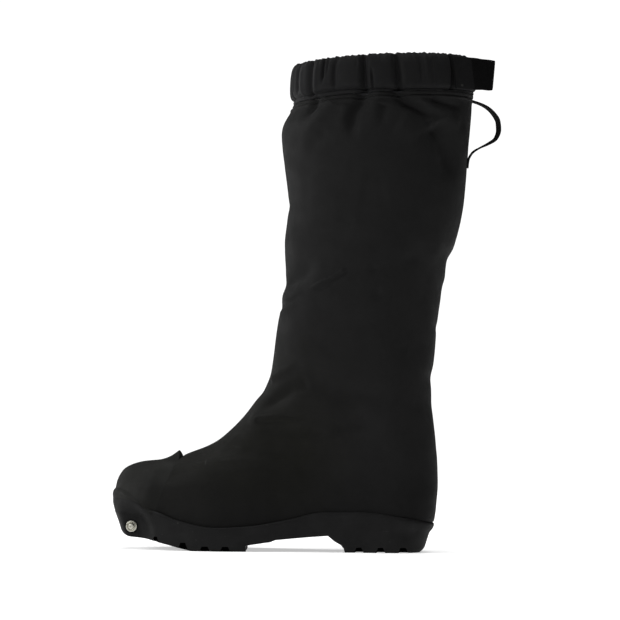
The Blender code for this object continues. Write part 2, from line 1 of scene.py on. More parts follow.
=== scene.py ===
"""Looks of the left cross-country ski boot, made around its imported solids.

Lengths in the tables are millimetres, and make_mesh() turns them into metres. Stations are measured from
the toe tip towards the heel, and heights from the floor. The toe points to -X, the outer side of the foot
to -Y. Turns go round the boot from its front, by the outer side, to the back and on by the inner side.
"""

import math

import bmesh
import bpy
import numpy as np
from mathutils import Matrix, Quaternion, Vector, noise


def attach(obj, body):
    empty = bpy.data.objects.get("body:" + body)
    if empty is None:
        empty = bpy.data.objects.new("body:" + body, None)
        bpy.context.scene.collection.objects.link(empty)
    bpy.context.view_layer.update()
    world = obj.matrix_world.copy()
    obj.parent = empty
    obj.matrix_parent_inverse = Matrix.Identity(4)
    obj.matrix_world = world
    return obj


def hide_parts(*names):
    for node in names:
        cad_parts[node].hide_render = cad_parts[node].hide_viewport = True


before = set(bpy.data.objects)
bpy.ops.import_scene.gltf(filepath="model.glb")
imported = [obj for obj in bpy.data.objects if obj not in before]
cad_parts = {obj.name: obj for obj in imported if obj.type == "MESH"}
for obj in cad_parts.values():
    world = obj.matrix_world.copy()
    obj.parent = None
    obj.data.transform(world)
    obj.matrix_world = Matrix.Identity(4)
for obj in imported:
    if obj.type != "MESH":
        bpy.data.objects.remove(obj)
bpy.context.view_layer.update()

MM = 0.001
TAU = 2 * math.pi
ORIGIN_STATION = 182.0
FIT_GAP = 0.3

# Driving sizes of the boot, as in its solids
LENGTH = 305.0
WALL_FOOT = 3.4
WALL_SHAFT = 2.0

# Plan of the last: its middle line's Y, and how far it reaches to the outer and the inner side
PLAN_COLUMNS = ("station", "centre", "lateral", "medial")
PLAN = (
    (0.0, 5.0, 37.0, 35.5),
    (30.0, 6.0, 44.5, 41.0),
    (65.0, 6.0, 52.0, 44.0),
    (100.0, 5.0, 57.0, 46.0),
    (130.0, 3.0, 52.0, 43.0),
    (165.0, 1.5, 42.0, 37.0),
    (200.0, 0.0, 37.0, 34.0),
    (240.0, 0.0, 37.5, 36.0),
    (275.0, 0.0, 38.5, 37.5),
    (305.0, 0.0, 38.0, 37.5),
)

# Heights of the sole's top edge, and of the floor inside it, by station
RIM = (
    (0.0, 56.0),
    (12.0, 54.5),
    (28.0, 46.5),
    (38.0, 38.5),
    (50.0, 35.5),
    (70.0, 28.0),
    (105.0, 22.0),
    (135.0, 23.5),
    (170.0, 29.5),
    (206.0, 37.2),
    (238.0, 37.4),
    (275.0, 33.0),
    (305.0, 27.5),
)
FLOOR = (
    (0.0, 38.0),
    (30.0, 31.5),
    (60.0, 20.0),
    (100.0, 13.0),
    (130.0, 13.0),
    (170.0, 17.5),
    (205.0, 21.5),
    (305.0, 23.0),
)

# Sections of the upper, from the feather line inside the sole to the seam under the collar: its front and
# back points, how long its nose and heel round off, as shares of its length, and how far it follows the plan
UPPER_COLUMNS = ("front", "front_z", "back", "back_z", "nose", "heel", "foot", "half", "trim")
UPPER = {
    "feather": (7.5, 38.0, 297.0, 23.0, 0.15, 0.13, 1.0, 45.0, 7.0),
    "rim": (4.2, 56.0, 302.6, 27.6, 0.15, 0.13, 1.0, 45.0, 3.4),
    "counter": (5.6, 62.5, 306.8, 48.0, 0.23, 0.13, 1.0, 45.0, 4.5),
    "toe_crown": (11.4, 73.0, 308.0, 67.0, 0.38, 0.135, 1.0, 44.0, 7.0),
    "vamp": (27.0, 79.8, 307.3, 86.0, 0.58, 0.145, 0.95, 43.0, 7.0),
    "cap_edge": (56.0, 83.2, 305.2, 106.0, 0.68, 0.18, 0.8, 42.5, 7.0),
    "instep": (84.5, 93.0, 303.2, 124.0, 0.68, 0.24, 0.55, 43.0, 6.0),
    "throat": (110.2, 111.0, 301.5, 141.0, 0.61, 0.32, 0.3, 44.0, 5.0),
    "ankle": (133.2, 136.5, 301.4, 158.0, 0.55, 0.40, 0.1, 45.5, 4.0),
    "shin": (150.0, 166.0, 303.0, 180.0, 0.51, 0.47, 0.0, 46.5, 4.0),
    "low_shaft": (155.0, 206.0, 306.0, 208.0, 0.5, 0.5, 0.0, 49.0, 4.0),
    "crease": (163.0, 256.0, 311.9, 258.0, 0.5, 0.5, 0.0, 53.5, 4.0),
    "calf": (161.8, 288.0, 322.4, 289.0, 0.5, 0.5, 0.0, 57.5, 4.0),
    "wide_calf": (165.2, 326.0, 330.4, 325.0, 0.5, 0.5, 0.0, 60.5, 4.0),
    "bulge": (158.2, 391.0, 336.0, 393.0, 0.5, 0.5, 0.0, 62.5, 4.0),
    "seam": (170.6, 418.8, 338.0, 428.0, 0.5, 0.5, 0.0, 57.5, 4.0),
}
RIM_ROW = list(UPPER).index("rim")
TOP_ROW = len(UPPER) - 1
WALL_FADE_ROWS = (1.0, 8.0)
NORMAL_STEP = 0.02

# Mesh of the upper: its rows, the lining's rows, and the columns on the outer and the inner side. The lining
# follows the troughs with some room to spare, so that none of them cuts through it.
UPPER_ROWS = 250
LINING_ROWS = 62
UPPER_TURNS = (204, 112)
LINING_FOLLOWS = 1.25

# How densely the rows of the upper lie at a height, so that its sharper creases stay sharp
ROW_DENSITY = (
    (0.0, 0.8),
    (95.0, 0.8),
    (108.0, 1.4),
    (165.0, 1.4),
    (180.0, 0.7),
    (232.0, 0.8),
    (240.0, 1.9),
    (266.0, 1.9),
    (276.0, 0.7),
    (370.0, 0.8),
    (390.0, 1.6),
    (409.0, 2.0),
    (413.0, 4.4),
    (430.0, 4.6),
)

# Relief of the seam band at a drop below the upper's top edge: a flush strip, a stitched groove, a hem ridge
HEM = (
    (0.0, 1.0),
    (1.8, 1.1),
    (2.5, 0.8),
    (3.1, -0.1),
    (3.7, 0.1),
    (4.4, 1.0),
    (5.4, 1.1),
    (6.4, 0.4),
    (8.5, 0.0),
)

# Creases of the upper. side says what path's first number is: a station on the outer and inner sides, or
# Y across the front and the back. Its second number is a height. width is the crease's half width, and fade
# gives the shares of the path over which it comes in and goes out.
CREASE_COLUMNS = ("side", "shape", "width", "depth", "fade", "path")
CREASES = (
    ("outer", "trough", 4.5, 3.4, (0.0, 0.5), ((195, 423), (193, 413), (187, 407), (176, 403))),
    ("outer", "ridge", 8.0, 1.8, (0.1, 0.4), ((213, 418), (202, 404), (190, 392), (177, 384))),
    ("outer", "trough", 7.0, 1.4, (0.3, 0.5), ((206, 392), (196, 380), (184, 370))),
    ("outer", "trough", 5.8, 5.4, (0.0, 0.35), ((240, 424), (237, 415), (232, 405), (230, 392), (231, 374))),
    ("outer", "ridge", 4.5, 1.0, (0.1, 0.4), ((223, 414), (221, 402), (220, 388))),
    ("outer", "ridge", 6.0, 2.2, (0.0, 0.5), ((254, 421), (250, 408), (245, 392))),
    ("outer", "trough", 4.0, 1.8, (0.1, 0.4), ((260, 413), (258, 403), (257, 388))),
    ("outer", "trough", 5.6, 5.6, (0.0, 0.3), ((271, 425), (277, 416), (289, 410), (306, 400))),
    ("outer", "ridge", 4.5, 2.0, (0.2, 0.3), ((288, 418), (303, 411), (322, 405))),
    ("outer", "ridge", 12.0, 2.4, (0.3, 0.3), ((270, 397), (283, 390), (294, 386))),
    ("outer", "trough", 3.5, 2.6, (0.1, 0.3), ((301, 419), (314, 416), (330, 413))),
    ("outer", "ridge", 7.0, 1.4, (0.3, 0.3), ((310, 402), (320, 400), (330, 401))),
    ("outer", "trough", 4.0, 1.6, (0.15, 0.4), ((299, 399), (303, 390), (307, 380))),
    ("outer", "trough", 11.5, 6.6, (0.15, 0.45),
     ((306, 397), (311, 386), (316, 371), (319, 355), (320, 342))),
    ("outer", "ridge", 6.0, 1.4, (0.3, 0.3), ((328, 398), (333, 384), (333, 366))),
    ("outer", "trough", 16.0, 1.1, (0.3, 0.3), ((236, 334), (250, 331), (266, 333))),
    ("outer", "trough", 5.0, 0.7, (0.3, 0.3), ((214, 309), (224, 305), (234, 303))),
    ("outer", "ridge", 1.5, 1.7, (0.3, 0.1), ((190, 243), (201, 248), (213, 254), (226, 261))),
    ("outer", "trough", 1.8, 1.0, (0.3, 0.1), ((192, 240), (203, 245), (215, 251), (228, 259))),
    ("outer", "trough", 8.0, 4.4, (0.3, 0.5), ((163, 243), (174, 252), (188, 259), (203, 265))),
    ("outer", "ridge", 5.5, 1.9, (0.3, 0.5), ((161, 233), (172, 238), (186, 243))),
    ("outer", "trough", 2.4, 1.5, (0.1, 0.4), ((160, 227), (170, 231), (182, 237))),
    ("outer", "ridge", 5.0, 1.4, (0.1, 0.5), ((159, 220), (168, 225), (180, 231))),
    ("outer", "trough", 4.5, 0.7, (0.4, 0.4), ((247, 265), (251, 260), (255, 256))),
    ("outer", "trough", 4.5, 0.9, (0.4, 0.4), ((260, 244), (254, 238), (251, 230))),
    ("outer", "trough", 5.0, 0.7, (0.4, 0.4), ((293, 277), (284, 271), (272, 263))),
    ("outer", "trough", 10.0, 1.0, (0.4, 0.4), ((180, 189), (201, 186), (222, 184))),
    ("outer", "trough", 4.0, 0.6, (0.4, 0.4), ((272, 192), (277, 189), (282, 186))),
    ("outer", "ridge", 5.0, 2.8, (0.1, 0.5), ((152, 160), (166, 168), (182, 174))),
    ("outer", "trough", 6.5, 4.2, (0.15, 0.35), ((191, 158), (174, 151), (156, 140), (140, 130))),
    ("outer", "trough", 11.0, 2.6, (0.2, 0.3), ((180, 160), (201, 152), (224, 147), (250, 146), (278, 147))),
    ("outer", "ridge", 6.5, 2.0, (0.1, 0.4), ((131, 124), (153, 126), (176, 128), (200, 129), (228, 134))),
    ("outer", "ridge", 1.1, 1.3, (0.1, 0.2), ((137, 123), (152, 125), (168, 125), (186, 124))),
    ("outer", "trough", 2.6, 1.5, (0.1, 0.2), ((138, 120), (153, 121), (170, 121), (190, 119))),
    ("outer", "trough", 7.0, 2.2, (0.2, 0.3), ((140, 112), (164, 114), (190, 111), (212, 110))),
    ("outer", "trough", 5.5, 1.8, (0.3, 0.3), ((206, 108), (222, 116), (236, 119), (251, 121))),
    ("outer", "trough", 5.5, 2.2, (0.35, 0.4), ((106, 107), (120, 100), (134, 93), (148, 85))),
    ("outer", "trough", 9.0, 1.3, (0.4, 0.4), ((88, 54), (128, 56), (171, 61))),
    ("outer", "trough", 8.0, 0.9, (0.4, 0.4), ((168, 78), (196, 76), (226, 82))),
    ("front", "trough", 6.0, 0.9, (0.4, 0.2), ((16, 255), (0, 250), (-14, 248))),
    ("front", "ridge", 6.0, 0.7, (0.3, 0.3), ((-18, 240), (0, 239), (20, 243))),
    ("front", "trough", 5.0, 1.2, (0.3, 0.3), ((-14, 229), (0, 227), (18, 230))),
    ("front", "trough", 6.0, 1.3, (0.3, 0.3), ((-16, 328), (0, 323), (18, 329))),
    ("front", "trough", 6.5, 0.9, (0.3, 0.3), ((-22, 153), (0, 149), (20, 155))),
    ("back", "trough", 7.0, 1.6, (0.3, 0.3), ((-34, 284), (0, 274), (32, 282))),
    ("back", "ridge", 7.0, 1.2, (0.3, 0.3), ((-30, 264), (0, 257), (30, 263))),
    ("back", "trough", 8.0, 1.2, (0.3, 0.3), ((-26, 168), (0, 163), (28, 170))),
    ("back", "trough", 5.0, 0.9, (0.3, 0.3), ((-18, 214), (2, 209), (22, 215))),
    ("inner", "trough", 5.5, 2.8, (0.0, 0.5), ((206, 422), (203, 405), (198, 386))),
    ("inner", "trough", 5.0, 2.6, (0.0, 0.5), ((236, 422), (241, 404), (244, 380))),
    ("inner", "trough", 6.0, 3.0, (0.0, 0.5), ((275, 424), (284, 408), (298, 394))),
    ("inner", "ridge", 6.5, 1.5, (0.0, 0.5), ((221, 421), (222, 408), (221, 392))),
    ("inner", "ridge", 7.0, 1.5, (0.2, 0.4), ((258, 420), (262, 404), (268, 388))),
    ("inner", "trough", 8.0, 1.8, (0.3, 0.4), ((186, 398), (182, 378), (188, 356))),
    ("inner", "trough", 14.0, 1.2, (0.3, 0.3), ((222, 342), (244, 331), (270, 330))),
    ("inner", "trough", 6.5, 2.0, (0.1, 0.5), ((165, 252), (180, 259), (206, 270))),
    ("inner", "fold", 2.4, 1.0, (0.2, 0.4), ((168, 232), (184, 240), (204, 247))),
    ("inner", "trough", 6.0, 1.4, (0.3, 0.4), ((296, 268), (276, 252), (256, 246))),
    ("inner", "trough", 6.5, 3.0, (0.1, 0.3), ((190, 166), (171, 157), (154, 145), (140, 133))),
    ("inner", "trough", 9.0, 1.8, (0.2, 0.3), ((190, 165), (214, 150), (246, 146), (276, 150))),
    ("inner", "ridge", 6.5, 1.8, (0.2, 0.4), ((134, 124), (160, 127), (188, 129), (220, 134))),
    ("inner", "trough", 7.0, 2.2, (0.2, 0.3), ((142, 112), (170, 113), (200, 110), (232, 118))),
    ("inner", "trough", 5.5, 1.8, (0.1, 0.4), ((112, 106), (128, 97), (146, 86))),
    ("inner", "trough", 9.0, 1.2, (0.4, 0.4), ((96, 52), (136, 56), (176, 64))),
)
CREASE_STEPS = 22
CREASE_REACH = 3.0

# Soft unevenness of the cloth: the size and the depth of each kind of swell
SWELLS = ((38.0, 0.8), (14.0, 0.22))

# Where the upper stays smooth: above the sole's rim, and round the toe cap
RIM_CALM = (2.0, 14.0)
CAP_CALM = (3.0, 16.0)

# Cloth that rises on the instep, close behind the toe cap's lip
BEHIND_LIP = {"start": 62.0, "run_in": 9.0, "run_out": 34.0, "end": 108.0, "half": 20.0, "height": 2.4}

# Outer face of the sole, from its top edge down to the floor: how far each level lies in from the plan at
# the toe, the heel and the sides. level is the share of the way down.
SOLE_COLUMNS = ("level", "toe_in", "heel_in", "side_in")
SOLE = (
    (0.0, 0.9, 1.8, 1.9),
    (0.02, 0.4, 1.0, 0.8),
    (0.05, 0.1, 0.6, 0.1),
    (0.08, 0.0, 0.6, 0.0),
    (0.2, 0.2, 1.8, 0.2),
    (0.36, 3.0, 4.8, 0.6),
    (0.62, 8.4, 7.2, 1.6),
    (0.86, 11.5, 9.6, 3.2),
    (1.0, 13.0, 13.6, 5.6),
)
SOLE_LEVELS = (0.0, 0.01, 0.02, 0.035, *np.arange(0.05, 0.41, 0.018),
               0.44, 0.48, 0.53, 0.62, 0.7, 0.78, 0.86, 0.93, 1.0)
SOLE_AROUND = 300
TOE_CROWDING = 0.14
SOLE_NOSE = 46.0
SOLE_HEEL = 39.0

# Toe block for the pins: its half width, its rounded nose, and the stations over which it runs out
BLOCK_HALF = 32.0
BLOCK_NOSE = 11.0
BLOCK_END = (29.0, 49.0)

# Undercut on each side of the bumper, over the toe block: its upper edge, and how tall it is
UNDERCUT_EDGE = (
    (2.0, 48.2),
    (10.0, 47.2),
    (16.0, 46.4),
    (27.0, 44.6),
    (31.0, 42.8),
    (37.0, 38.4),
    (44.0, 33.0),
)
UNDERCUT_TALL = 13.0
UNDERCUT_BEND = 1.5

# Rounding of the sole's top edge at the toe, where the cap runs into it: its depth, share and last stations
TOE_ROUND = 0.8
TOE_ROUND_SHARE = 0.2
TOE_ROUND_END = (34.0, 52.0)

# Profiles of the underside, as (station, height): the toe spring and the arch
TOE_SPRING = (
    (-30.0, 32.0),
    (7.0, 23.5),
    (11.0, 18.6),
    (16.0, 14.4),
    (22.0, 12.0),
    (29.0, 11.3),
    (40.0, 10.0),
    (53.0, 7.0),
    (64.0, 4.4),
    (74.0, 1.8),
    (83.0, 0.0),
)
ARCH = (
    (128.5, 5.6),
    (146.0, 8.2),
    (160.0, 10.8),
    (176.0, 12.4),
    (192.0, 13.9),
    (208.5, 15.2),
    (214.2, 10.4),
    (220.5, 6.8),
    (223.0, 3.6),
    (223.7, 0.0),
)
BELOW = -12.0
CUTTER_WIDTH = 150.0
ARCH_SWEEP = 0.105
ARCH_SWEEP_END = 150.0

# Grooves across the tread, and the share of a groove's width that its floor takes
GROOVE_COLUMNS = ("station", "width", "depth", "sweep")
GROOVES = (
    (42.8, 4.8, 3.4, 8.0),
    (68.6, 8.0, 4.4, 8.0),
    (89.0, 9.8, 4.5, 8.0),
    (108.0, 9.4, 4.5, 8.0),
    (237.0, 8.2, 4.8, 0.0),
    (257.0, 8.4, 4.8, 0.0),
    (277.5, 8.8, 4.8, 0.0),
)
GROOVE_FLOOR_SHARE = 0.55
GROOVE_OVERLAP = 1.0

# A rib joins the forefoot lugs a little way in from each side: how far in it begins, and its thickness
RIB_IN = 11.0
RIB_THICK = 3.0

# The rib that joins the heel's lugs, on their outer half: from which Y to which
HEEL_RIB = (-13.0, -9.5)

# Grooves along the tread
LONG_GROOVE_COLUMNS = ("start", "end", "y")
LONG_GROOVES = (
    (33.0, 140.0, 16.0),
    (33.0, 140.0, -16.0),
    (218.0, 285.0, 0.0),
)
LONG_GROOVE_WIDTH = 5.0
LONG_GROOVE_DEPTH = 4.0

# Binding pins
PIN_STATION = 23.3
PIN_HEIGHT = 21.6
PIN_CENTRE_Y = 5.7
COUNTERBORE_RADIUS = 6.6
COUNTERBORE_DEPTH = 1.2
BORE_OVERSHOOT = 5.0
BUSHING_RADIUS = 5.2
BUSHING_DEPTH = 5.5
BUSHING_PROUD = 0.6
BUSHING_BORE = 3.9
BUSHING_BORE_DEPTH = 1.8
STUD_RADIUS = 2.8
STUD_PROUD = 2.6
STUD_CHAMFER = 0.8
PIN_EDGE = 0.35
ROUND_SIDES = 64
SIDES = (("lateral", -1.0), ("medial", 1.0))

# Edge of the insole: how far in from the wall it lies at a height over the sole's floor
INSOLE_EDGE = ((0.6, 0.0), (0.6, 3.0), (0.9, 3.6), (1.6, 4.0))

# Toe cap: how proud it stands, the ends of its back edge, and the lip that lifts off the instep
CAP_OUTSIDE = 2.1
CAP_EDGE_TOP = (66.8, 88.0)
CAP_EDGE_FOOT = (48.0, 36.0)
CAP_LIFT = 6.8
CAP_LIFT_FROM = 43.0
CAP_LIFT_HALF_WIDTH = 26.0
CAP_FIRST_ROW = 0.02
CAP_LAST_STATION = 66.0
CAP_TURN_ROUNDS = 12
CAP_ROWS = 60
CAP_ACROSS = 150

# Edges of the toe cap: its lip is rounded, and its sides thin out towards the back over the feather's length
CAP_EDGE_ROUND = 1.5
CAP_EDGE_LEAST = 0.45
CAP_FEATHER = 16.0
CAP_FEATHER_SHARE = 0.06
CAP_INSIDE = 0.05

# Foot of the toe cap, which laps over the bumper: its gap over the sole, its rows, its least reach as a
# share of the sole's height, its inner face, and its thickness at its lower edge and over the rest
CAP_FOOT_GAP = 0.06
CAP_LAP_ROWS = 9
CAP_LAP_LEAST = 0.012
CAP_LAP_INSIDE = 0.04
CAP_LAP_THICK = (0.12, 0.45)

# Collar: the (station, height) of its own line at the foot and at the top, in front and behind, and its half
# widths there. In its profile up is the share of its height, out the distance from that line, and gather how
# far the folds reach in.
COLLAR_FRONT = ((170.6, 419.4), (171.8, 456.0))
COLLAR_BACK = ((337.8, 428.6), (333.4, 463.2))
COLLAR_HALF = (57.3, 55.5)
COLLAR_COLUMNS = ("up", "out", "gather")
COLLAR_PROFILE = (
    (0.004, 0.1, 0.0),
    (0.005, 0.85, 0.0),
    (0.012, 1.1, 0.1),
    (0.03, 1.3, 0.2),
    (0.05, 1.5, 0.3),
    (0.07, 1.5, 0.4),
    (0.09, 1.2, 0.6),
    (0.112, 0.2, 0.8),
    (0.135, 1.2, 0.9),
    (0.18, 3.2, 1.0),
    (0.3, 4.6, 1.0),
    (0.5, 5.0, 1.0),
    (0.7, 4.9, 1.0),
    (0.86, 3.9, 1.0),
    (0.95, 2.5, 0.8),
    (0.995, 0.9, 0.6),
    (1.0, -0.6, 0.4),
    (0.97, -1.9, 0.3),
    (0.75, -2.9, 0.5),
    (0.5, -3.6, 0.8),
    (0.2, -3.4, 0.9),
    (0.03, -2.8, 0.7),
    (0.006, -2.2, 0.3),
    (0.003, -1.2, 0.1),
)
COLLAR_STEPS = 4
COLLAR_LINING_FROM = 17
COLLAR_AROUND = 760
COLLAR_SWELL = 0.35

# How far up the collar the crease under its bulge lies, at turns in degrees from the toe
UNDER_BULGE = 0.112
UNDER_BULGE_TURNS = (
    (-180.0, 0.08),
    (-90.0, 0.09),
    (0.0, 0.1),
    (55.0, 0.115),
    (74.0, 0.115),
    (84.0, 0.075),
    (96.0, 0.06),
    (105.0, 0.03),
    (140.0, 0.03),
    (180.0, 0.08),
)
UNDER_BULGE_RUN = 0.25

# Folds of the collar: where each lies in degrees from the toe, the depth and half width of its valley, and
# how far up it comes in and goes out. A negative depth is a ridge.
FOLD_COLUMNS = ("turn", "depth", "width", "low", "high")
FOLDS = (
    (-168.0, 1.8, 2.0, 0.0, 1.0),
    (-157.0, 2.8, 2.4, 0.0, 1.0),
    (-143.0, 1.5, 1.6, 0.35, 1.0),
    (-134.0, 3.2, 2.6, 0.0, 1.0),
    (-121.0, 1.4, 1.8, 0.5, 1.0),
    (-112.0, 3.0, 2.4, 0.0, 1.0),
    (-98.0, 1.9, 1.6, 0.0, 0.7),
    (-91.0, 3.3, 2.8, 0.0, 1.0),
    (-77.0, 1.5, 2.2, 0.4, 1.0),
    (-67.0, 3.0, 2.4, 0.0, 1.0),
    (-57.0, 1.6, 1.8, 0.0, 0.6),
    (-45.0, 3.2, 2.6, 0.0, 1.0),
    (-31.0, 1.7, 2.0, 0.3, 1.0),
    (-19.0, 2.8, 2.4, 0.0, 1.0),
    (-5.0, 1.8, 2.0, 0.3, 1.0),
    (6.0, 2.4, 2.0, 0.0, 1.0),
    (15.0, 1.8, 1.6, 0.0, 0.75),
    (20.0, -1.2, 1.6, 0.3, 1.0),
    (27.0, 2.2, 2.0, 0.25, 1.0),
    (33.0, -1.0, 1.8, 0.0, 0.8),
    (40.6, 4.4, 3.0, 0.0, 1.0),
    (46.0, -0.6, 1.6, 0.2, 0.8),
    (52.3, 2.4, 1.5, 0.42, 1.0),
    (56.0, 1.0, 1.2, 0.6, 1.0),
    (62.0, 1.9, 2.4, 0.2, 0.95),
    (76.5, 0.9, 1.0, 0.7, 1.0),
    (81.2, 5.2, 3.2, 0.0, 1.0),
    (86.4, 1.9, 1.3, 0.1, 0.55),
    (84.5, 0.8, 0.9, 0.7, 1.0),
    (93.0, 0.7, 0.9, 0.82, 1.0),
    (102.6, 5.4, 3.0, 0.0, 1.0),
    (107.5, 0.8, 0.9, 0.82, 1.0),
    (117.0, 0.8, 1.6, 0.3, 0.9),
    (121.5, -1.0, 2.0, 0.3, 0.95),
    (126.0, 0.6, 1.6, 0.2, 0.8),
    (141.1, 3.4, 1.6, 0.0, 1.0),
    (176.0, 1.8, 2.0, 0.0, 1.0),
)
FOLD_FADE = 0.12
FOLD_LEAN = 0.024
FOLD_WAVER = 0.01

# Between deep folds the cloth puffs out: how far, over what distance, and how deep a fold has to be
PUFF = 1.1
PUFF_RUN = 3.4
DEEP_FOLD = 2.4

# Fine ruffles of the top edge: how many waves go round and how high they are, and where they begin
RUFFLES = ((61, 0.2), (97, 0.26), (158, 0.14), (43, 0.2))
RUFFLE_FROM = 0.78

# How far up the collar the shaft's creases run out
CREASES_UP_TO = 0.3

# Closure strap: how far its lower and upper edges stand off the collar's line, and how high they lie
STRAP_COLUMNS = ("turn", "low_off", "high_off", "low", "high")
STRAP = (
    (142.0, 6.7, 6.7, 429.0, 459.6),
    (144.0, 6.7, 6.7, 429.0, 459.8),
    (152.0, 6.9, 6.9, 429.2, 460.2),
    (159.0, 8.0, 8.0, 429.8, 460.6),
    (165.0, 10.6, 11.0, 430.7, 461.0),
    (169.5, 13.8, 15.4, 431.3, 460.6),
    (172.5, 16.8, 19.6, 431.3, 460.6),
    (174.5, 19.6, 25.6, 431.8, 459.8),
)
STRAP_THICK = 2.4
STRAP_STEPS = 120
STRAP_SECTION = 44
STRAP_TAB_TURN = 160.5

# How square the section of a flat band is, across it and through it
BAND_POWERS = (0.16, 0.5)

# Pull loop: its route as (station, height), and a twist that is strongest a little above its middle
LOOP_PATH = (
    (338.2, 422.8),
    (345.0, 420.4),
    (351.8, 416.8),
    (358.3, 410.6),
    (362.4, 403.0),
    (363.0, 395.4),
    (360.4, 387.6),
    (353.0, 382.4),
    (345.6, 378.8),
    (338.6, 374.2),
    (334.9, 367.4),
    (334.0, 360.0),
)
LOOP_WIDTH = 10.0
LOOP_THICK = 1.8
LOOP_TWIST = 24.0
LOOP_TWIST_LEAN = 0.85
LOOP_STEPS = 120
LOOP_SECTION = 32

# Distance between two threads of the shell cloth
CLOTH_PITCH = 0.42

# Light marks, as (station, y, height) and half sizes: a lint thread on the vamp, a tack on the strap's root
LINT = (93.6, -34.0, 82.0, 0.55, 9.0, 2.6)
STRAP_TACK = (330.0, -36.0, 432.6, 1.2, 6.0, 1.2)

# Stations between which the painted light on the collar's paler front fades out
COLLAR_PAINTED_LIGHT = (186.0, 196.0)

# Camera: it stands off the outer side, a little towards the heel, near the height of the foot
CAMERA_AZIMUTH = 6.0
CAMERA_DISTANCE = 2.17
CAMERA_HEIGHT = 0.10
CAMERA_AIM = (0.0044, 0.2258)
CAMERA_ROLL = 0.5
CAMERA_LENS = 133.84
CAMERA_SENSOR = 36.0

# Lamps, in metres and watts: where each stands. They all have one size and point at the boot's middle.
LAMPS = (
    ("key", (-1.9, -0.75, 1.2), 18.0),
    ("side", (-1.2, -1.75, 1.35), 9.0),
    ("front", (-1.9, 0.85, 0.9), 11.0),
)
LAMP_SIZE = (0.7, 0.9)
LAMP_AIM = (0.0, 0.0, 0.25)
SUN_STRENGTH = 2.0
SUN_ANGLE = 35.0
SKY_SEEN = 1.1
SKY_LIGHT = 0.09
FLOOR_SIZE = 8000.0


class Curve:
    """A smooth curve through a table column that never overshoots between two rows."""

    def __init__(self, knots, values):
        self.knots = np.array(knots, dtype=float)
        self.values = np.array(values, dtype=float)
        rises = np.diff(self.values) / np.diff(self.knots)
        self.slopes = np.zeros(len(self.knots))
        self.slopes[0] = rises[0]
        self.slopes[-1] = rises[-1]
        before, after = rises[:-1], rises[1:]
        same_way = before * after > 0
        both = np.where(same_way, before + after, 1.0)
        self.slopes[1:-1] = np.where(same_way, 2 * before * after / both, 0.0)

    def __call__(self, at):
        at = np.clip(at, self.knots[0], self.knots[-1])
        row = np.clip(np.searchsorted(self.knots, at) - 1, 0, len(self.knots) - 2)
        step = self.knots[row + 1] - self.knots[row]
        part = (at - self.knots[row]) / step
        start = (1 + 2 * part) * (1 - part) ** 2 * self.values[row]
        end = part * part * (3 - 2 * part) * self.values[row + 1]
        leave = part * (1 - part) ** 2 * step * self.slopes[row]
        arrive = part * part * (part - 1) * step * self.slopes[row + 1]
        return start + end + leave + arrive


def curves(columns, rows, knots=None):
    """One Curve for each named column, over the first column or over the given knots."""
    by_column = list(zip(*rows))
    knots = by_column[0] if knots is None else knots
    return {name: Curve(knots, values) for name, values in zip(columns, by_column)}


PLAN_AT = curves(PLAN_COLUMNS, PLAN)
RIM_AT = Curve(*zip(*RIM))
FLOOR_AT = Curve(*zip(*FLOOR))
UPPER_AT = curves(UPPER_COLUMNS, UPPER.values(), range(len(UPPER)))
SOLE_AT = curves(SOLE_COLUMNS, SOLE)
HEM_AT = Curve(*zip(*HEM))
UNDERCUT_AT = Curve(*zip(*UNDERCUT_EDGE))


def between(a, b, share):
    return a + (b - a) * share


def ease(share):
    """0 below 0, 1 above 1, and smooth between them."""
    share = np.clip(share, 0.0, 1.0)
    return share * share * (3 - 2 * share)


def rounding(distance, length):
    """A quarter ellipse: 0 at the end of a form, and 1 from length inwards."""
    share = np.clip(distance / length, 0.0, 1.0)
    return np.sqrt(share * (2 - share))


def unit(vectors):
    return vectors / np.maximum(np.linalg.norm(vectors, axis=-1, keepdims=True), 1e-9)


def half_plan(theta, station):
    """The plan's half width and the sign of Y on the side where an angle lies."""
    outer = np.mod(theta, TAU) <= math.pi
    half = np.where(outer, PLAN_AT["lateral"](station), PLAN_AT["medial"](station))
    return half, np.where(outer, -1.0, 1.0)


def upper_point(row, theta):
    """Points of the upper's outer face: row counts the sections, theta turns from the front."""
    at = {name: curve(row) for name, curve in UPPER_AT.items()}
    share = (1 - np.cos(theta)) / 2
    station = between(at["front"], at["back"], share)
    edge = between(FLOOR_AT(station), RIM_AT(station), np.minimum(row, 1.0))
    height = between(edge, between(at["front_z"], at["back_z"], share), ease(row - RIM_ROW))
    plan, sign = half_plan(theta, station)
    ends = rounding(share, at["nose"]) * rounding(1 - share, at["heel"])
    half = between(at["half"], plan - at["trim"], at["foot"]) * ends
    middle = PLAN_AT["centre"](station) * np.minimum(1.0, at["foot"] * 1.5)
    return np.stack([station, middle + sign * half, height], axis=-1)


def upper_normal(row, theta, level=False):
    """Unit vectors out of the upper. level keeps them flat."""
    along = upper_point(np.minimum(row + NORMAL_STEP, TOP_ROW), theta)
    along = along - upper_point(np.maximum(row - NORMAL_STEP, 0.0), theta)
    round_it = upper_point(row, theta + NORMAL_STEP) - upper_point(row, theta - NORMAL_STEP)
    out = np.cross(round_it, along)
    if level:
        out = out * (1.0, 1.0, 0.0)
    return unit(out)


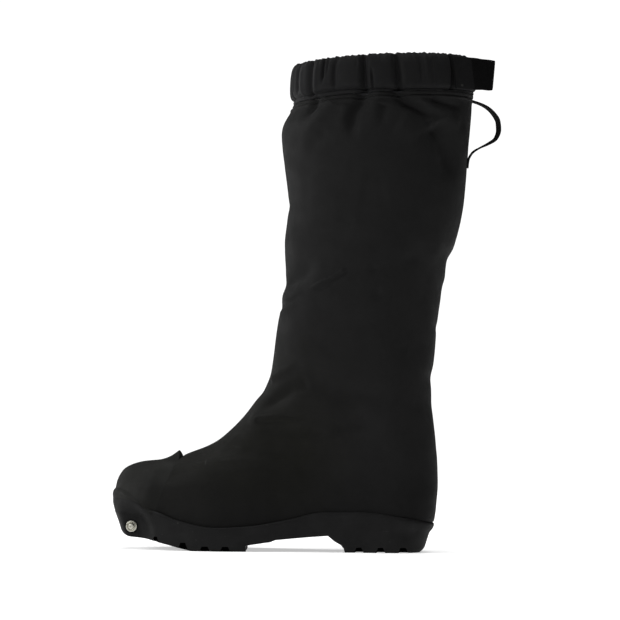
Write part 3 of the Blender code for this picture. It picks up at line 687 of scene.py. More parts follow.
def spread_rows(count, first, last, density=((0.0, 1.0),)):
    """Section rows at distances that follow a density, measured where the sections lie furthest apart."""
    fine = np.linspace(first, last, 1500)
    gaps = []
    for turn in (0.0, math.pi / 2, math.pi):
        line = upper_point(fine, np.full_like(fine, turn))
        gaps.append(np.linalg.norm(np.diff(line, axis=0), axis=1) * np.interp(line[1:, 2], *zip(*density)))
    reach = np.concatenate([[0.0], np.cumsum(np.max(gaps, axis=0) + np.mean(gaps, axis=0))])
    return np.interp(np.linspace(0.0, reach[-1], count), reach, fine)


def wall_at(row):
    """Thickness of the upper's wall: it thins out from the foot to the shaft."""
    first, last = WALL_FADE_ROWS
    return between(WALL_FOOT, WALL_SHAFT, ease((row - first) / (last - first)))


def make_mesh(name, points, faces, materials=(), face_material=None, uv=None, sharp=None):
    """A mesh object from points in millimetres. uv holds a pair for each face corner, in millimetres."""
    mesh = bpy.data.meshes.new(name)
    placed = (np.asarray(points, dtype=float) - (ORIGIN_STATION, 0.0, 0.0)) * MM
    mesh.from_pydata(placed.tolist(), [], faces)
    if face_material is not None:
        mesh.polygons.foreach_set("material_index", face_material)
    if uv is not None:
        layer = mesh.uv_layers.new(name="cloth")
        layer.data.foreach_set("uv", np.asarray(uv, dtype=np.float32).ravel())
    for material in materials:
        mesh.materials.append(material)
    mesh.shade_smooth()
    if sharp is not None:
        mesh.set_sharp_from_angle(angle=math.radians(sharp))
    model = bpy.data.objects.new(name, mesh)
    bpy.context.scene.collection.objects.link(model)
    return model


def grid_faces(rows, columns, wrap_rows=False, wrap_columns=True):
    """Faces between the points of a grid, with the row and column of each corner, unwrapped, for its UV."""
    row = np.arange(rows if wrap_rows else rows - 1)
    column = np.arange(columns if wrap_columns else columns - 1)
    row, column = (side.ravel() for side in np.meshgrid(row, column, indexing="ij"))
    corners = [np.stack([row + a, column + b], axis=-1) for a, b in ((0, 0), (0, 1), (1, 1), (1, 0))]
    corners = np.stack(corners, axis=1)
    index = (corners[..., 0] % rows) * columns + corners[..., 1] % columns
    return index, corners


def cloth_uv(grid, corners):
    """Distances round and along a wrapped grid, in millimetres, so that a weave keeps its size."""
    closed = np.concatenate([grid, grid[:, :1]], axis=1)
    around = np.linalg.norm(np.diff(closed, axis=1), axis=2)
    around = np.concatenate([np.zeros((len(grid), 1)), np.cumsum(around, axis=1)], axis=1)
    around = around - around[:, -1:] / 2
    along = np.linalg.norm(np.diff(closed, axis=0), axis=2)
    along = np.concatenate([np.zeros((1, closed.shape[1])), np.cumsum(along, axis=0)], axis=0)
    row = np.minimum(corners[..., 0], len(grid) - 1)
    return np.stack([around[row, corners[..., 1]], along[row, corners[..., 1]]], axis=-1)


def swell(points, seed):
    """Soft unevenness of cloth: the same noise each run."""
    shift = Vector((seed * 17.3, seed * 5.1, seed * 9.7))
    total = np.zeros(points.shape[:-1])
    flat = points.reshape(-1, 3)
    for size, depth in SWELLS:
        values = [noise.noise(Vector(point) / size + shift) for point in flat]
        total += depth * np.array(values).reshape(total.shape)
    return total


SIDE_TURNS = {"outer": (0, 180, 0), "inner": (180, 360, 0), "front": (-90, 90, 1), "back": (90, 270, 1)}
SCOUT_SIZE = (520, 300)


def scout(side):
    """A fine grid over one side of the upper, in which places are looked up."""
    first, last, axis = SIDE_TURNS[side]
    row, turn = np.meshgrid(
        np.linspace(RIM_ROW, TOP_ROW, SCOUT_SIZE[0]),
        np.radians(np.linspace(first, last, SCOUT_SIZE[1])),
        indexing="ij",
    )
    return row, turn, upper_point(row, turn), axis


SCOUTS = {side: scout(side) for side in SIDE_TURNS}


def locate(side, place, height):
    """The row and turn nearest to a place on one side of the upper."""
    row, turn, points, axis = SCOUTS[side]
    nearest = np.argmin((points[..., axis] - place) ** 2 + (points[..., 2] - height) ** 2)
    return row.ravel()[nearest], turn.ravel()[nearest]


def crease_lines(side, path):
    """A crease's own smooth line on the upper, and the upper's normals along it."""
    places = [locate(side, *place) for place in path]
    knots = range(len(places))
    steps = np.linspace(0.0, len(places) - 1, CREASE_STEPS)
    row, turn = (Curve(knots, values)(steps) for values in zip(*places))
    return upper_point(row, turn), upper_normal(row, turn)


def crease_shape(shape, across):
    """Height of a crease's section at a distance across it, in half widths."""
    if shape == "fold":
        return np.exp(-(across - 0.8) ** 2) - np.exp(-(across + 0.8) ** 2)
    return np.exp(-across * across) * (1.0 if shape == "ridge" else -1.0)


def crease_relief(points):
    """How far all the creases move each point of the upper, outwards or inwards."""
    flat = points.reshape(-1, 3)
    relief = np.zeros(len(flat))
    for row in CREASES:
        crease = dict(zip(CREASE_COLUMNS, row))
        line, out = crease_lines(crease["side"], crease["path"])
        reach = CREASE_REACH * crease["width"]
        near = np.all((flat > line.min(axis=0) - reach) & (flat < line.max(axis=0) + reach), axis=1)
        index = np.nonzero(near)[0]
        if not len(index):
            continue
        relief[index] += relief_of_one(flat[index], line, out, crease)
    return relief.reshape(points.shape[:-1])


def relief_of_one(points, line, out, crease):
    """Relief of one crease at the points near it."""
    best = np.full(len(points), np.inf)
    along = np.zeros(len(points))
    side = np.ones(len(points))
    last = len(line) - 1
    for step in range(last):
        start, run = line[step], line[step + 1] - line[step]
        share = np.clip(((points - start) @ run) / (run @ run), 0.0, 1.0)
        away = points - (start + share[:, None] * run)
        distance = np.linalg.norm(away, axis=1)
        closer = distance < best
        best[closer] = distance[closer]
        along[closer] = (step + share[closer]) / last
        side[closer] = np.sign(away[closer] @ np.cross(out[step], run) + 1e-9)
    fade_in, fade_out = crease["fade"]
    weight = ease((1 - along) / fade_out)
    if fade_in:
        weight = weight * ease(along / fade_in)
    return crease["depth"] * weight * crease_shape(crease["shape"], side * best / crease["width"])


def cap_edge_station(height):
    """Where the toe cap's back edge lies at a height."""
    (top_x, top_z), (foot_x, foot_z) = CAP_EDGE_TOP, CAP_EDGE_FOOT
    return between(foot_x, top_x, np.clip((height - foot_z) / (top_z - foot_z), 0.0, 1.0))


def creased(row, turn):
    """Plain points of the upper, its normals, and how far its creases and unevenness move them."""
    points = upper_point(row, turn)
    first, last = RIM_CALM
    calm = ease((points[..., 2] - RIM_AT(points[..., 0]) - first) / (last - first))
    first, last = CAP_CALM
    calm = calm * ease((points[..., 0] - cap_edge_station(points[..., 2]) - first) / (last - first))
    relief = (crease_relief(points) + swell(points, 1.0)) * calm
    drop = upper_point(np.full_like(row, TOP_ROW), turn)[..., 2] - points[..., 2]
    relief = relief + HEM_AT(drop)
    rise = ease((points[..., 0] - BEHIND_LIP["start"]) / BEHIND_LIP["run_in"])
    rise = rise * ease((BEHIND_LIP["end"] - points[..., 0]) / BEHIND_LIP["run_out"])
    across = (points[..., 1] - PLAN_AT["centre"](points[..., 0])) / BEHIND_LIP["half"]
    return points, upper_normal(row, turn), relief + BEHIND_LIP["height"] * rise * np.exp(-across * across)


def build_upper(cloth, lining):
    """The foot and the shaft: a hollow shell with creases outside and a plain lining inside."""
    outer, inner = UPPER_TURNS
    turns = np.concatenate([
        np.linspace(math.pi, TAU, inner, endpoint=False),
        np.linspace(TAU, TAU + math.pi, outer, endpoint=False),
    ])
    rows = spread_rows(UPPER_ROWS, 0.0, TOP_ROW, ROW_DENSITY)
    row, turn = np.meshgrid(rows, turns, indexing="ij")
    outside, out, relief = creased(row, turn)
    outside = outside + out * relief[..., None]
    inner_rows = spread_rows(LINING_ROWS, 0.0, TOP_ROW, ROW_DENSITY)[::-1]
    row, turn = np.meshgrid(inner_rows, turns, indexing="ij")
    inside, out, relief = creased(row, turn)
    inside = inside + out * (LINING_FOLLOWS * np.minimum(relief, 0.0) - wall_at(row))[..., None]
    for ring, at in ((0, TOP_ROW), (-1, 0.0)):
        plain = upper_point(np.full_like(turns, at), turns)
        flat = upper_normal(np.full_like(turns, at), turns, level=True)
        inside[ring] = plain - flat * wall_at(at)
    grid = np.concatenate([outside, inside])
    index, corners = grid_faces(len(grid), len(turns), wrap_rows=True)
    is_lining = corners[:, 0, 0] >= UPPER_ROWS - 1
    uv = cloth_uv(grid, corners)
    return make_mesh("gaiter_and_foot", grid.reshape(-1, 3), index.tolist(), (cloth, lining),
                     is_lining.astype(np.int32), uv)


def collar_line(theta, up):
    """Points of the collar's own line, an ellipse that leans with the shaft, and its outward vectors."""
    front = [between(*pair, up) for pair in zip(*COLLAR_FRONT)]
    back = [between(*pair, up) for pair in zip(*COLLAR_BACK)]
    share = (1 - np.cos(theta)) / 2
    half = between(*COLLAR_HALF, up)
    station, height = (between(front[axis], back[axis], share) for axis in (0, 1))
    point = np.stack([station, -np.sin(theta) * half, height], axis=-1)
    length = (back[0] - front[0]) / 2
    radial = np.stack([-np.cos(theta) * half, -np.sin(theta) * length, 0.0 * theta], axis=-1)
    return point, unit(radial)


def fold_relief(theta, up):
    """The collar's folds at one level: valleys in cloth that puffs out between the deep ones."""
    valleys = np.zeros_like(theta)
    flat = np.ones_like(theta)
    length = (COLLAR_BACK[0][0] - COLLAR_FRONT[0][0]) / 2
    for row in FOLDS:
        fold = dict(zip(FOLD_COLUMNS, row))
        turn = math.radians(fold["turn"])
        run = 2 * FOLD_FADE
        weight = 1.0 if fold["low"] == 0.0 else float(ease((up - fold["low"] + FOLD_FADE) / run))
        weight *= 1.0 if fold["high"] == 1.0 else float(ease((fold["high"] + FOLD_FADE - up) / run))
        arc = math.hypot(length * math.sin(turn), COLLAR_HALF[0] * math.cos(turn))
        away = (np.mod(theta - turn + math.pi, TAU) - math.pi) * arc
        valleys -= fold["depth"] * weight * np.exp(-((away / fold["width"]) ** 2))
        share = min(max(fold["depth"] / DEEP_FOLD, 0.0), 1.0) * weight
        flat *= 1 - share * np.exp(-np.abs(away) / PUFF_RUN)
    return valleys + PUFF * flat


def band_level(theta, up):
    """Moves the crease under the bulge, and what lies by it, up or down to its place at each turn."""
    place = Curve(*zip(*UNDER_BULGE_TURNS))(np.degrees(theta)) - UNDER_BULGE
    nearness = ease(up / UNDER_BULGE) if up < UNDER_BULGE else 1 - ease((up - UNDER_BULGE) / UNDER_BULGE_RUN)
    return up + place * nearness


def fold_sway(theta, up):
    """How far the folds lean and waver at one level, in radians."""
    lean = FOLD_LEAN * np.sin(4 * theta + 1.0) * (up - 0.3)
    return lean + FOLD_WAVER * np.sin(11 * theta + 2.0) * math.sin(math.pi * up)


def ruffles(theta):
    """Fine waves of the gathered top edge."""
    return sum(height * np.sin(count * theta + count) for count, height in RUFFLES)


def build_collar(cloth, lining):
    """An elastic casing above a stitched seam band, gathered into folds, with a finely ruffled top edge."""
    knots = range(len(COLLAR_PROFILE))
    profile = curves(COLLAR_COLUMNS, COLLAR_PROFILE, knots)
    steps = np.linspace(0.0, knots[-1], COLLAR_STEPS * knots[-1] + 1)
    theta = np.linspace(-math.pi, math.pi, COLLAR_AROUND, endpoint=False)
    lining_from = COLLAR_STEPS * COLLAR_LINING_FROM
    rings = []
    for index, step in enumerate(steps):
        up, out, gather = (float(profile[name](step)) for name in COLLAR_COLUMNS)
        line, radial = collar_line(theta, band_level(theta, up))
        relief = out + gather * fold_relief(theta + fold_sway(theta, up), up)
        ruffle = ruffles(theta) * float(ease((up - RUFFLE_FROM) / (1 - RUFFLE_FROM)))
        relief = relief + ruffle
        if up < CREASES_UP_TO:
            creases = crease_relief(line + radial * max(out, 0.0)) * (1 - ease(up / CREASES_UP_TO))
            relief = relief + (creases if index < lining_from else LINING_FOLLOWS * np.minimum(creases, 0.0))
        points = line + radial * relief[:, None]
        points[:, 2] += ruffle
        rings.append(points)
    grid = np.array(rings)
    grid += unit(grid - grid.mean(axis=(0, 1))) * (swell(grid, 2.0) * COLLAR_SWELL)[..., None]
    index, corners = grid_faces(len(grid), COLLAR_AROUND, wrap_rows=True)
    is_lining = corners[:, 0, 0] >= lining_from
    uv = cloth_uv(grid, corners)
    return make_mesh("gathered_collar", grid.reshape(-1, 3), index.tolist(), (cloth, lining),
                     is_lining.astype(np.int32), uv)


def smooth_path(points, count):
    """Points at equal parameter steps on a smooth curve through the path."""
    knots = range(len(points))
    steps = np.linspace(0.0, knots[-1], count)
    return np.stack([Curve(knots, values)(steps) for values in zip(*points)], axis=-1)


def band_section(count):
    """A flat rounded section: places across the band and through its thickness, from -1 to 1."""
    angle = np.arange(count) * TAU / count
    wide_power, thick_power = BAND_POWERS
    across = np.sign(np.cos(angle)) * np.abs(np.cos(angle)) ** wide_power
    through = np.sign(np.sin(angle)) * np.abs(np.sin(angle)) ** thick_power
    return across, through


def close_ends(index, rows, columns):
    """Faces of a wrapped grid and of its two ends."""
    first = list(range(columns))
    last = [(rows - 1) * columns + column for column in range(columns)]
    return index.tolist() + [first[::-1], last]


def build_strap(cloth, hook_side):
    """The closure strap: a flat cloth root on the collar and a nearly black tab that stands out behind."""
    rows = smooth_path(STRAP, STRAP_STEPS)
    across, through = band_section(STRAP_SECTION)
    rings = []
    for row in rows:
        at = dict(zip(STRAP_COLUMNS, row))
        theta = np.full(STRAP_SECTION, math.radians(at["turn"]))
        share = (1 - math.cos(theta[0])) / 2
        low, high = (between(COLLAR_FRONT[end][1], COLLAR_BACK[end][1], share) for end in (0, 1))
        part = (across + 1) / 2
        height = between(at["low"], at["high"], part)
        off = between(at["low_off"], at["high_off"], part) + through * STRAP_THICK / 2
        ups = (height - low) / (high - low)
        points = [collar_line(theta[:1], up) for up in ups]
        rings.append([point[0] + radial[0] * distance for (point, radial), distance in zip(points, off)])
    grid = np.array(rings)
    index, corners = grid_faces(STRAP_STEPS, STRAP_SECTION)
    is_tab = np.append(rows[corners[:, 0, 0], 0] > STRAP_TAB_TURN, [False, True])
    faces = close_ends(index, STRAP_STEPS, STRAP_SECTION)
    uv = cloth_uv(grid, corners).reshape(-1, 2)
    uv = np.concatenate([uv, np.zeros((2 * STRAP_SECTION, 2))])
    return make_mesh("closure_tab", grid.reshape(-1, 3), faces, (cloth, hook_side),
                     is_tab.astype(np.int32), uv, 40)


def build_loop(webbing):
    """A flat woven tape bent in the middle plane, which twists a little on its way down."""
    path = smooth_path(LOOP_PATH, LOOP_STEPS)
    run = np.gradient(path, axis=0)
    run = run / np.linalg.norm(run, axis=1, keepdims=True)
    across, through = band_section(LOOP_SECTION)
    rings = []
    for index, (x, z) in enumerate(path):
        share = (index / (LOOP_STEPS - 1)) ** LOOP_TWIST_LEAN
        twist = math.radians(LOOP_TWIST) * math.sin(math.pi * share) ** 3
        outward = np.array((run[index, 1], 0.0, -run[index, 0]))
        sideways = np.array((0.0, 1.0, 0.0))
        wide = sideways * math.cos(twist) + outward * math.sin(twist)
        thick = outward * math.cos(twist) - sideways * math.sin(twist)
        section = np.outer(across, wide) * LOOP_WIDTH / 2
        rings.append(np.array((x, 0.0, z)) + section + np.outer(through, thick) * LOOP_THICK / 2)
    grid = np.array(rings)
    index, corners = grid_faces(LOOP_STEPS, LOOP_SECTION)
    uv = np.concatenate([cloth_uv(grid, corners).reshape(-1, 2), np.zeros((2 * LOOP_SECTION, 2))])
    faces = close_ends(index, LOOP_STEPS, LOOP_SECTION)
    return make_mesh("pull_tape", grid.reshape(-1, 3), faces, (webbing,), uv=uv, sharp=40)


def cap_turn(row):
    """The angle from the toe at which a section meets the cap's back edge, found in a few rounds."""
    front, back = UPPER_AT["front"](row), UPPER_AT["back"](row)
    theta = 0.0
    for _ in range(CAP_TURN_ROUNDS):
        station = cap_edge_station(upper_point(row, theta)[2])
        share = min(max((station - front) / (back - front), 0.0), 1.0)
        theta = math.acos(1 - 2 * share)
    return theta


def cap_last_row():
    """The section whose front point lies at the end of the cap's ridge."""
    fine = np.linspace(RIM_ROW, TOP_ROW, 4000)
    return fine[np.searchsorted(UPPER_AT["front"](fine), CAP_LAST_STATION)]


def cap_foot(turns):
    """Rings of the toe cap that lap over the bumper, from the undercut's upper edge to the sole's top."""
    outer, inner = [], []
    edge = 1 - UNDERCUT_AT(sole_ring(0.0, turns)[:, 0]) / RIM_AT(sole_ring(0.0, turns)[:, 0])
    edge = np.maximum(edge, CAP_LAP_LEAST)
    for share in np.linspace(0.0, 1.0, CAP_LAP_ROWS):
        level = edge * (1 - share) + CAP_LAP_LEAST / 2 * share
        points = sole_ring(level, turns)
        ahead, behind = sole_ring(level, turns + NORMAL_STEP), sole_ring(level, turns - NORMAL_STEP)
        out = unit(np.cross(ahead - behind, (0.0, 0.0, 1.0)))
        outer.append(points + out * between(*CAP_LAP_THICK, float(ease(share * 3))))
        inner.append(points + out * CAP_LAP_INSIDE)
    return outer, inner


def build_toe_cap(rubber):
    """A rubber shell over the toe, which laps over the bumper, with a lip that lifts off the instep."""
    last = cap_last_row()
    reach = cap_turn(RIM_ROW + CAP_FIRST_ROW)
    outer, inner = cap_foot(np.linspace(-reach, reach, CAP_ACROSS))
    for step in range(CAP_ROWS):
        row = between(RIM_ROW + CAP_FIRST_ROW, last, math.sin(step / (CAP_ROWS - 1) * math.pi / 2))
        reach = cap_turn(row)
        turns = np.linspace(-reach, reach, CAP_ACROSS)
        rows = np.full_like(turns, row)
        base = upper_point(rows, turns)
        out = upper_normal(rows, turns)
        ridge = PLAN_AT["centre"](base[:, 0])
        along = 2 * ease((base[:, 0] - CAP_LIFT_FROM) / (CAP_EDGE_TOP[0] - CAP_LIFT_FROM) / 2)
        across = ease(1 - np.abs(base[:, 1] - ridge) / CAP_LIFT_HALF_WIDTH)
        thick = CAP_OUTSIDE + CAP_LIFT * along * across
        to_back = cap_edge_station(base[:, 2]) - base[:, 0]
        feather = between(CAP_FEATHER_SHARE, 1.0, ease(to_back / CAP_FEATHER))
        edge = between(CAP_EDGE_LEAST, 1.0, rounding(to_back + CAP_INSIDE, CAP_EDGE_ROUND))
        thick = thick * between(feather, edge, across)
        top = base + out * thick[:, None]
        bottom = base + out * CAP_INSIDE
        for points in (top, bottom):
            points[:, 2] = np.maximum(points[:, 2], RIM_AT(points[:, 0]) + CAP_FOOT_GAP)
        outer.append(top)
        inner.append(bottom)
    grid = np.concatenate([np.array(outer), np.array(inner)[:, ::-1]], axis=1)
    columns = 2 * CAP_ACROSS
    index, _ = grid_faces(len(grid), columns)
    faces = index.tolist()
    for ring, flip in ((0, False), (len(grid) - 1, True)):
        start = ring * columns
        for step in range(CAP_ACROSS - 1):
            face = [start + step, start + step + 1, start + columns - 2 - step, start + columns - 1 - step]
            faces.append(face if flip else face[::-1])
    return make_mesh("rubber_toe_cap", grid.reshape(-1, 3), faces, (rubber,), sharp=50)


def plan_angles(count):
    """The turns of a ring of the sole, closer together towards the toe."""
    turns = np.arange(count) * TAU / count
    return turns - TOE_CROWDING * np.sin(turns)


def sole_ring(level, theta):
    """One ring of the sole's outer face."""
    row = {name: SOLE_AT[name](level) for name in SOLE_COLUMNS}
    round_in = TOE_ROUND * np.maximum(1 - level / TOE_ROUND_SHARE, 0.0) ** 2
    front, back = row["toe_in"] + round_in, LENGTH - row["heel_in"]
    station = between(front, back, (1 - np.cos(theta)) / 2)
    height = RIM_AT(station) * (1 - level)
    ends = rounding(station - front, SOLE_NOSE) * rounding(back - station, SOLE_HEEL)
    plan, sign = half_plan(theta, station)
    first, last = TOE_ROUND_END
    half = (plan - row["side_in"] - round_in * ease((last - station) / (last - first))) * ends
    block = BLOCK_HALF * rounding(station - front, BLOCK_NOSE)
    drop = (UNDERCUT_AT(station) - height) / UNDERCUT_TALL
    weight = np.clip(drop, 0.0, 1.0) ** UNDERCUT_BEND
    weight = weight * ease((BLOCK_END[1] - station) / (BLOCK_END[1] - BLOCK_END[0]))
    half = between(half, block, weight)
    return np.stack([station, PLAN_AT["centre"](station) + sign * half, height], axis=-1)


def strip_faces(start, count, flip):
    """Faces across a ring, between its two sides."""
    faces = []
    for step in range(count // 2):
        corners = (step, step + 1, (count - step - 1) % count, (count - step) % count)
        face = [start + corner for corner in dict.fromkeys(corners)]
        faces.append(face[::-1] if flip else face)
    return faces


def solid_from(name, rings, material=None, sharp=None):
    """A closed solid lofted through rings of one count."""
    grid = np.array(rings)
    index, _ = grid_faces(len(grid), grid.shape[1])
    count = grid.shape[1]
    faces = index.tolist() + strip_faces(0, count, True) + strip_faces((len(grid) - 1) * count, count, False)
    model = make_mesh(name, grid.reshape(-1, 3), faces, () if material is None else (material,), sharp=sharp)
    face_outwards(model.data)
    return model


def face_outwards(mesh):
    """Turns the normals of a closed mesh outwards."""
    made = bmesh.new()
    made.from_mesh(mesh)
    bmesh.ops.recalc_face_normals(made, faces=made.faces)
    made.to_mesh(mesh)
    made.free()


def prism(name, outline, depth, middle=0.0):
    """A cutter along Y from an outline of (station, height) points."""
    count = len(outline)
    points = [(x, middle + side * depth, z) for side in (-0.5, 0.5) for x, z in outline]
    faces = [[step, (step + 1) % count, count + (step + 1) % count, count + step] for step in range(count)]
    faces += [list(range(count)), list(range(count, 2 * count))[::-1]]
    model = make_mesh(name, points, faces)
    face_outwards(model.data)
    return model


def pin_ring(radius, y):
    """A circle round the binding pins' axis."""
    angle = np.arange(ROUND_SIDES) * TAU / ROUND_SIDES
    station, height = PIN_STATION + radius * np.cos(angle), PIN_HEIGHT + radius * np.sin(angle)
    return np.stack([station, np.full(ROUND_SIDES, y), height], axis=-1)


def round_cutter(name, radius, start, end):
    """A round bar along the binding pins' axis."""
    return solid_from(name, [pin_ring(radius, y) for y in (start, end)])


def underside_cutter(name, profile, steps):
    """Takes away what lies under a smooth profile of the sole's underside."""
    line = smooth_path(profile, steps) if steps else np.array(profile)
    outline = [(line[0][0], BELOW), *map(tuple, line), (line[-1][0], BELOW)]
    return prism(name, outline, CUTTER_WIDTH)


def tread_height(station):
    """Height of the lugs' tips over the floor at a station of the toe spring."""
    return float(np.interp(station, *zip(*TOE_SPRING)))


def tread_cutters(shade):
    """The grooves between the lugs: swept halves across the forefoot, straight ones across the heel. Their
    walls get the shade material."""
    cutters = []
    reach = CUTTER_WIDTH / 2
    for row in GROOVES:
        groove = dict(zip(GROOVE_COLUMNS, row))
        station, half = groove["station"], groove["width"] / 2
        roof = tread_height(station)
        floor = half * GROOVE_FLOOR_SHARE
        top = (station - floor, roof + groove["depth"])
        sides = [(station - half, roof + BELOW), (station - half, roof), top]
        outline = sides + [(2 * station - x, z) for x, z in reversed(sides)]
        if not groove["sweep"]:
            for part, near, far in (("outer", -reach, HEEL_RIB[0]), ("inner", HEEL_RIB[1], reach)):
                cutters.append(prism(f"groove_{station:.0f}_{part}", outline, far - near, (near + far) / 2))
            continue
        for side, sign in SIDES:
            outside = float(half_plan(sign * -1.0, station)[0]) - RIB_IN
            parts = (("mouth", outside, reach), ("middle", -GROOVE_OVERLAP, outside - RIB_THICK))
            for part, near, far in parts:
                name = f"groove_{station:.0f}_{side}_{part}"
                cutter = prism(name, outline, far - near, sign * (near + far) / 2)
                shear(cutter, sign * math.tan(math.radians(groove["sweep"])))
                cutters.append(cutter)
    for row in LONG_GROOVES:
        groove = dict(zip(LONG_GROOVE_COLUMNS, row))
        stations = np.linspace(groove["start"], groove["end"], 9)
        outline = [(stations[0], BELOW)]
        outline += [(station, tread_height(station) + LONG_GROOVE_DEPTH) for station in stations]
        outline += [(stations[-1], BELOW)]
        cutters.append(prism(f"long_groove_{groove['start']:.0f}_{groove['y']:.0f}", outline,
                             LONG_GROOVE_WIDTH, groove["y"]))
    for cutter in cutters:
        cutter.data.materials.append(shade)
    return cutters


def shear(cutter, slope, before=math.inf):
    """Slides a cutter's points along the boot by their distance from its middle plane."""
    limit = (before - ORIGIN_STATION) * MM
    for vertex in cutter.data.vertices:
        if vertex.co.x < limit:
            vertex.co.x += vertex.co.y * slope


def cut_all(model, cutters, sharp):
    """Cuts a mesh once with each cutter, and removes the cutters."""
    for cutter in cutters:
        modifier = model.modifiers.new(cutter.name, "BOOLEAN")
        modifier.operation = "DIFFERENCE"
        modifier.solver = "EXACT"
        modifier.material_mode = "TRANSFER"
        modifier.object = cutter
    bpy.context.view_layer.update()
    shown = model.evaluated_get(bpy.context.evaluated_depsgraph_get())
    made = bpy.data.meshes.new_from_object(shown)
    model.modifiers.clear()
    model.data = made
    for cutter in cutters:
        bpy.data.objects.remove(cutter)
    made.shade_smooth()
    made.set_sharp_from_angle(angle=math.radians(sharp))


def build_sole(rubber, shade):
    """The cup sole with its bumper, toe block, lugs, arch and heel."""
    theta = plan_angles(SOLE_AROUND)
    rings = [sole_ring(level, theta) for level in reversed(SOLE_LEVELS)]
    for row in (1.0, 0.66, 0.33, 0.0):
        rows = np.full_like(theta, row)
        rings.append(upper_point(rows, theta) + upper_normal(rows, theta, level=True) * FIT_GAP)
    rings[-1][:, 2] -= FIT_GAP
    sole = solid_from("rubber_sole", rings, rubber)
    cutters = []
    for side, sign in SIDES:
        face = PIN_CENTRE_Y + sign * BLOCK_HALF
        beyond = face + sign * BORE_OVERSHOOT
        seat = face - sign * COUNTERBORE_DEPTH
        cutters.append(round_cutter(f"counterbore_{side}", COUNTERBORE_RADIUS, seat, beyond))
        floor = face - sign * (BUSHING_DEPTH + FIT_GAP)
        cutters.append(round_cutter(f"bore_{side}", BUSHING_RADIUS + FIT_GAP, floor, beyond))
    arch = underside_cutter("arch", ARCH, 0)
    shear(arch, -ARCH_SWEEP, before=ARCH_SWEEP_END)
    cutters += [underside_cutter("toe_spring", TOE_SPRING, 40), arch, *tread_cutters(shade)]
    cut_all(sole, cutters, 32)
    return sole


def build_insole(felt):
    """A felt sheet on the sole's floor, with a rounded upper edge."""
    theta = plan_angles(SOLE_AROUND)
    rows = np.zeros_like(theta)
    base = upper_point(rows, theta)
    out = upper_normal(rows, theta, level=True)
    rings = []
    for inset, lift in INSOLE_EDGE:
        ring = base - out * (WALL_FOOT + inset)
        ring[:, 2] = FLOOR_AT(ring[:, 0]) + lift
        rings.append(ring)
    return solid_from("felt_insole", rings, felt, 50)


def build_pin(side, sign, steel):
    """A turned steel bushing with a domed stud in its recess."""
    face = PIN_CENTRE_Y + sign * BLOCK_HALF
    floor = BUSHING_PROUD - BUSHING_BORE_DEPTH
    tip = BUSHING_PROUD + STUD_PROUD
    profile = (
        (BUSHING_RADIUS, -BUSHING_DEPTH),
        (BUSHING_RADIUS, BUSHING_PROUD - PIN_EDGE),
        (BUSHING_RADIUS - 0.3 * PIN_EDGE, BUSHING_PROUD - 0.3 * PIN_EDGE),
        (BUSHING_RADIUS - PIN_EDGE, BUSHING_PROUD),
        (BUSHING_BORE + PIN_EDGE, BUSHING_PROUD),
        (BUSHING_BORE, BUSHING_PROUD - PIN_EDGE),
        (BUSHING_BORE, floor),
        (STUD_RADIUS, floor),
        (STUD_RADIUS, tip - STUD_CHAMFER),
        (STUD_RADIUS - 0.3 * STUD_CHAMFER, tip - 0.3 * STUD_CHAMFER),
        (STUD_RADIUS - STUD_CHAMFER, tip),
        (0.9, tip),
        (0.7, tip - 0.5),
        (0.3, tip - 0.6),
    )
    rings = [pin_ring(radius, face + sign * y) for radius, y in profile]
    return solid_from(f"steel_pin_{side}", rings, steel, 30)


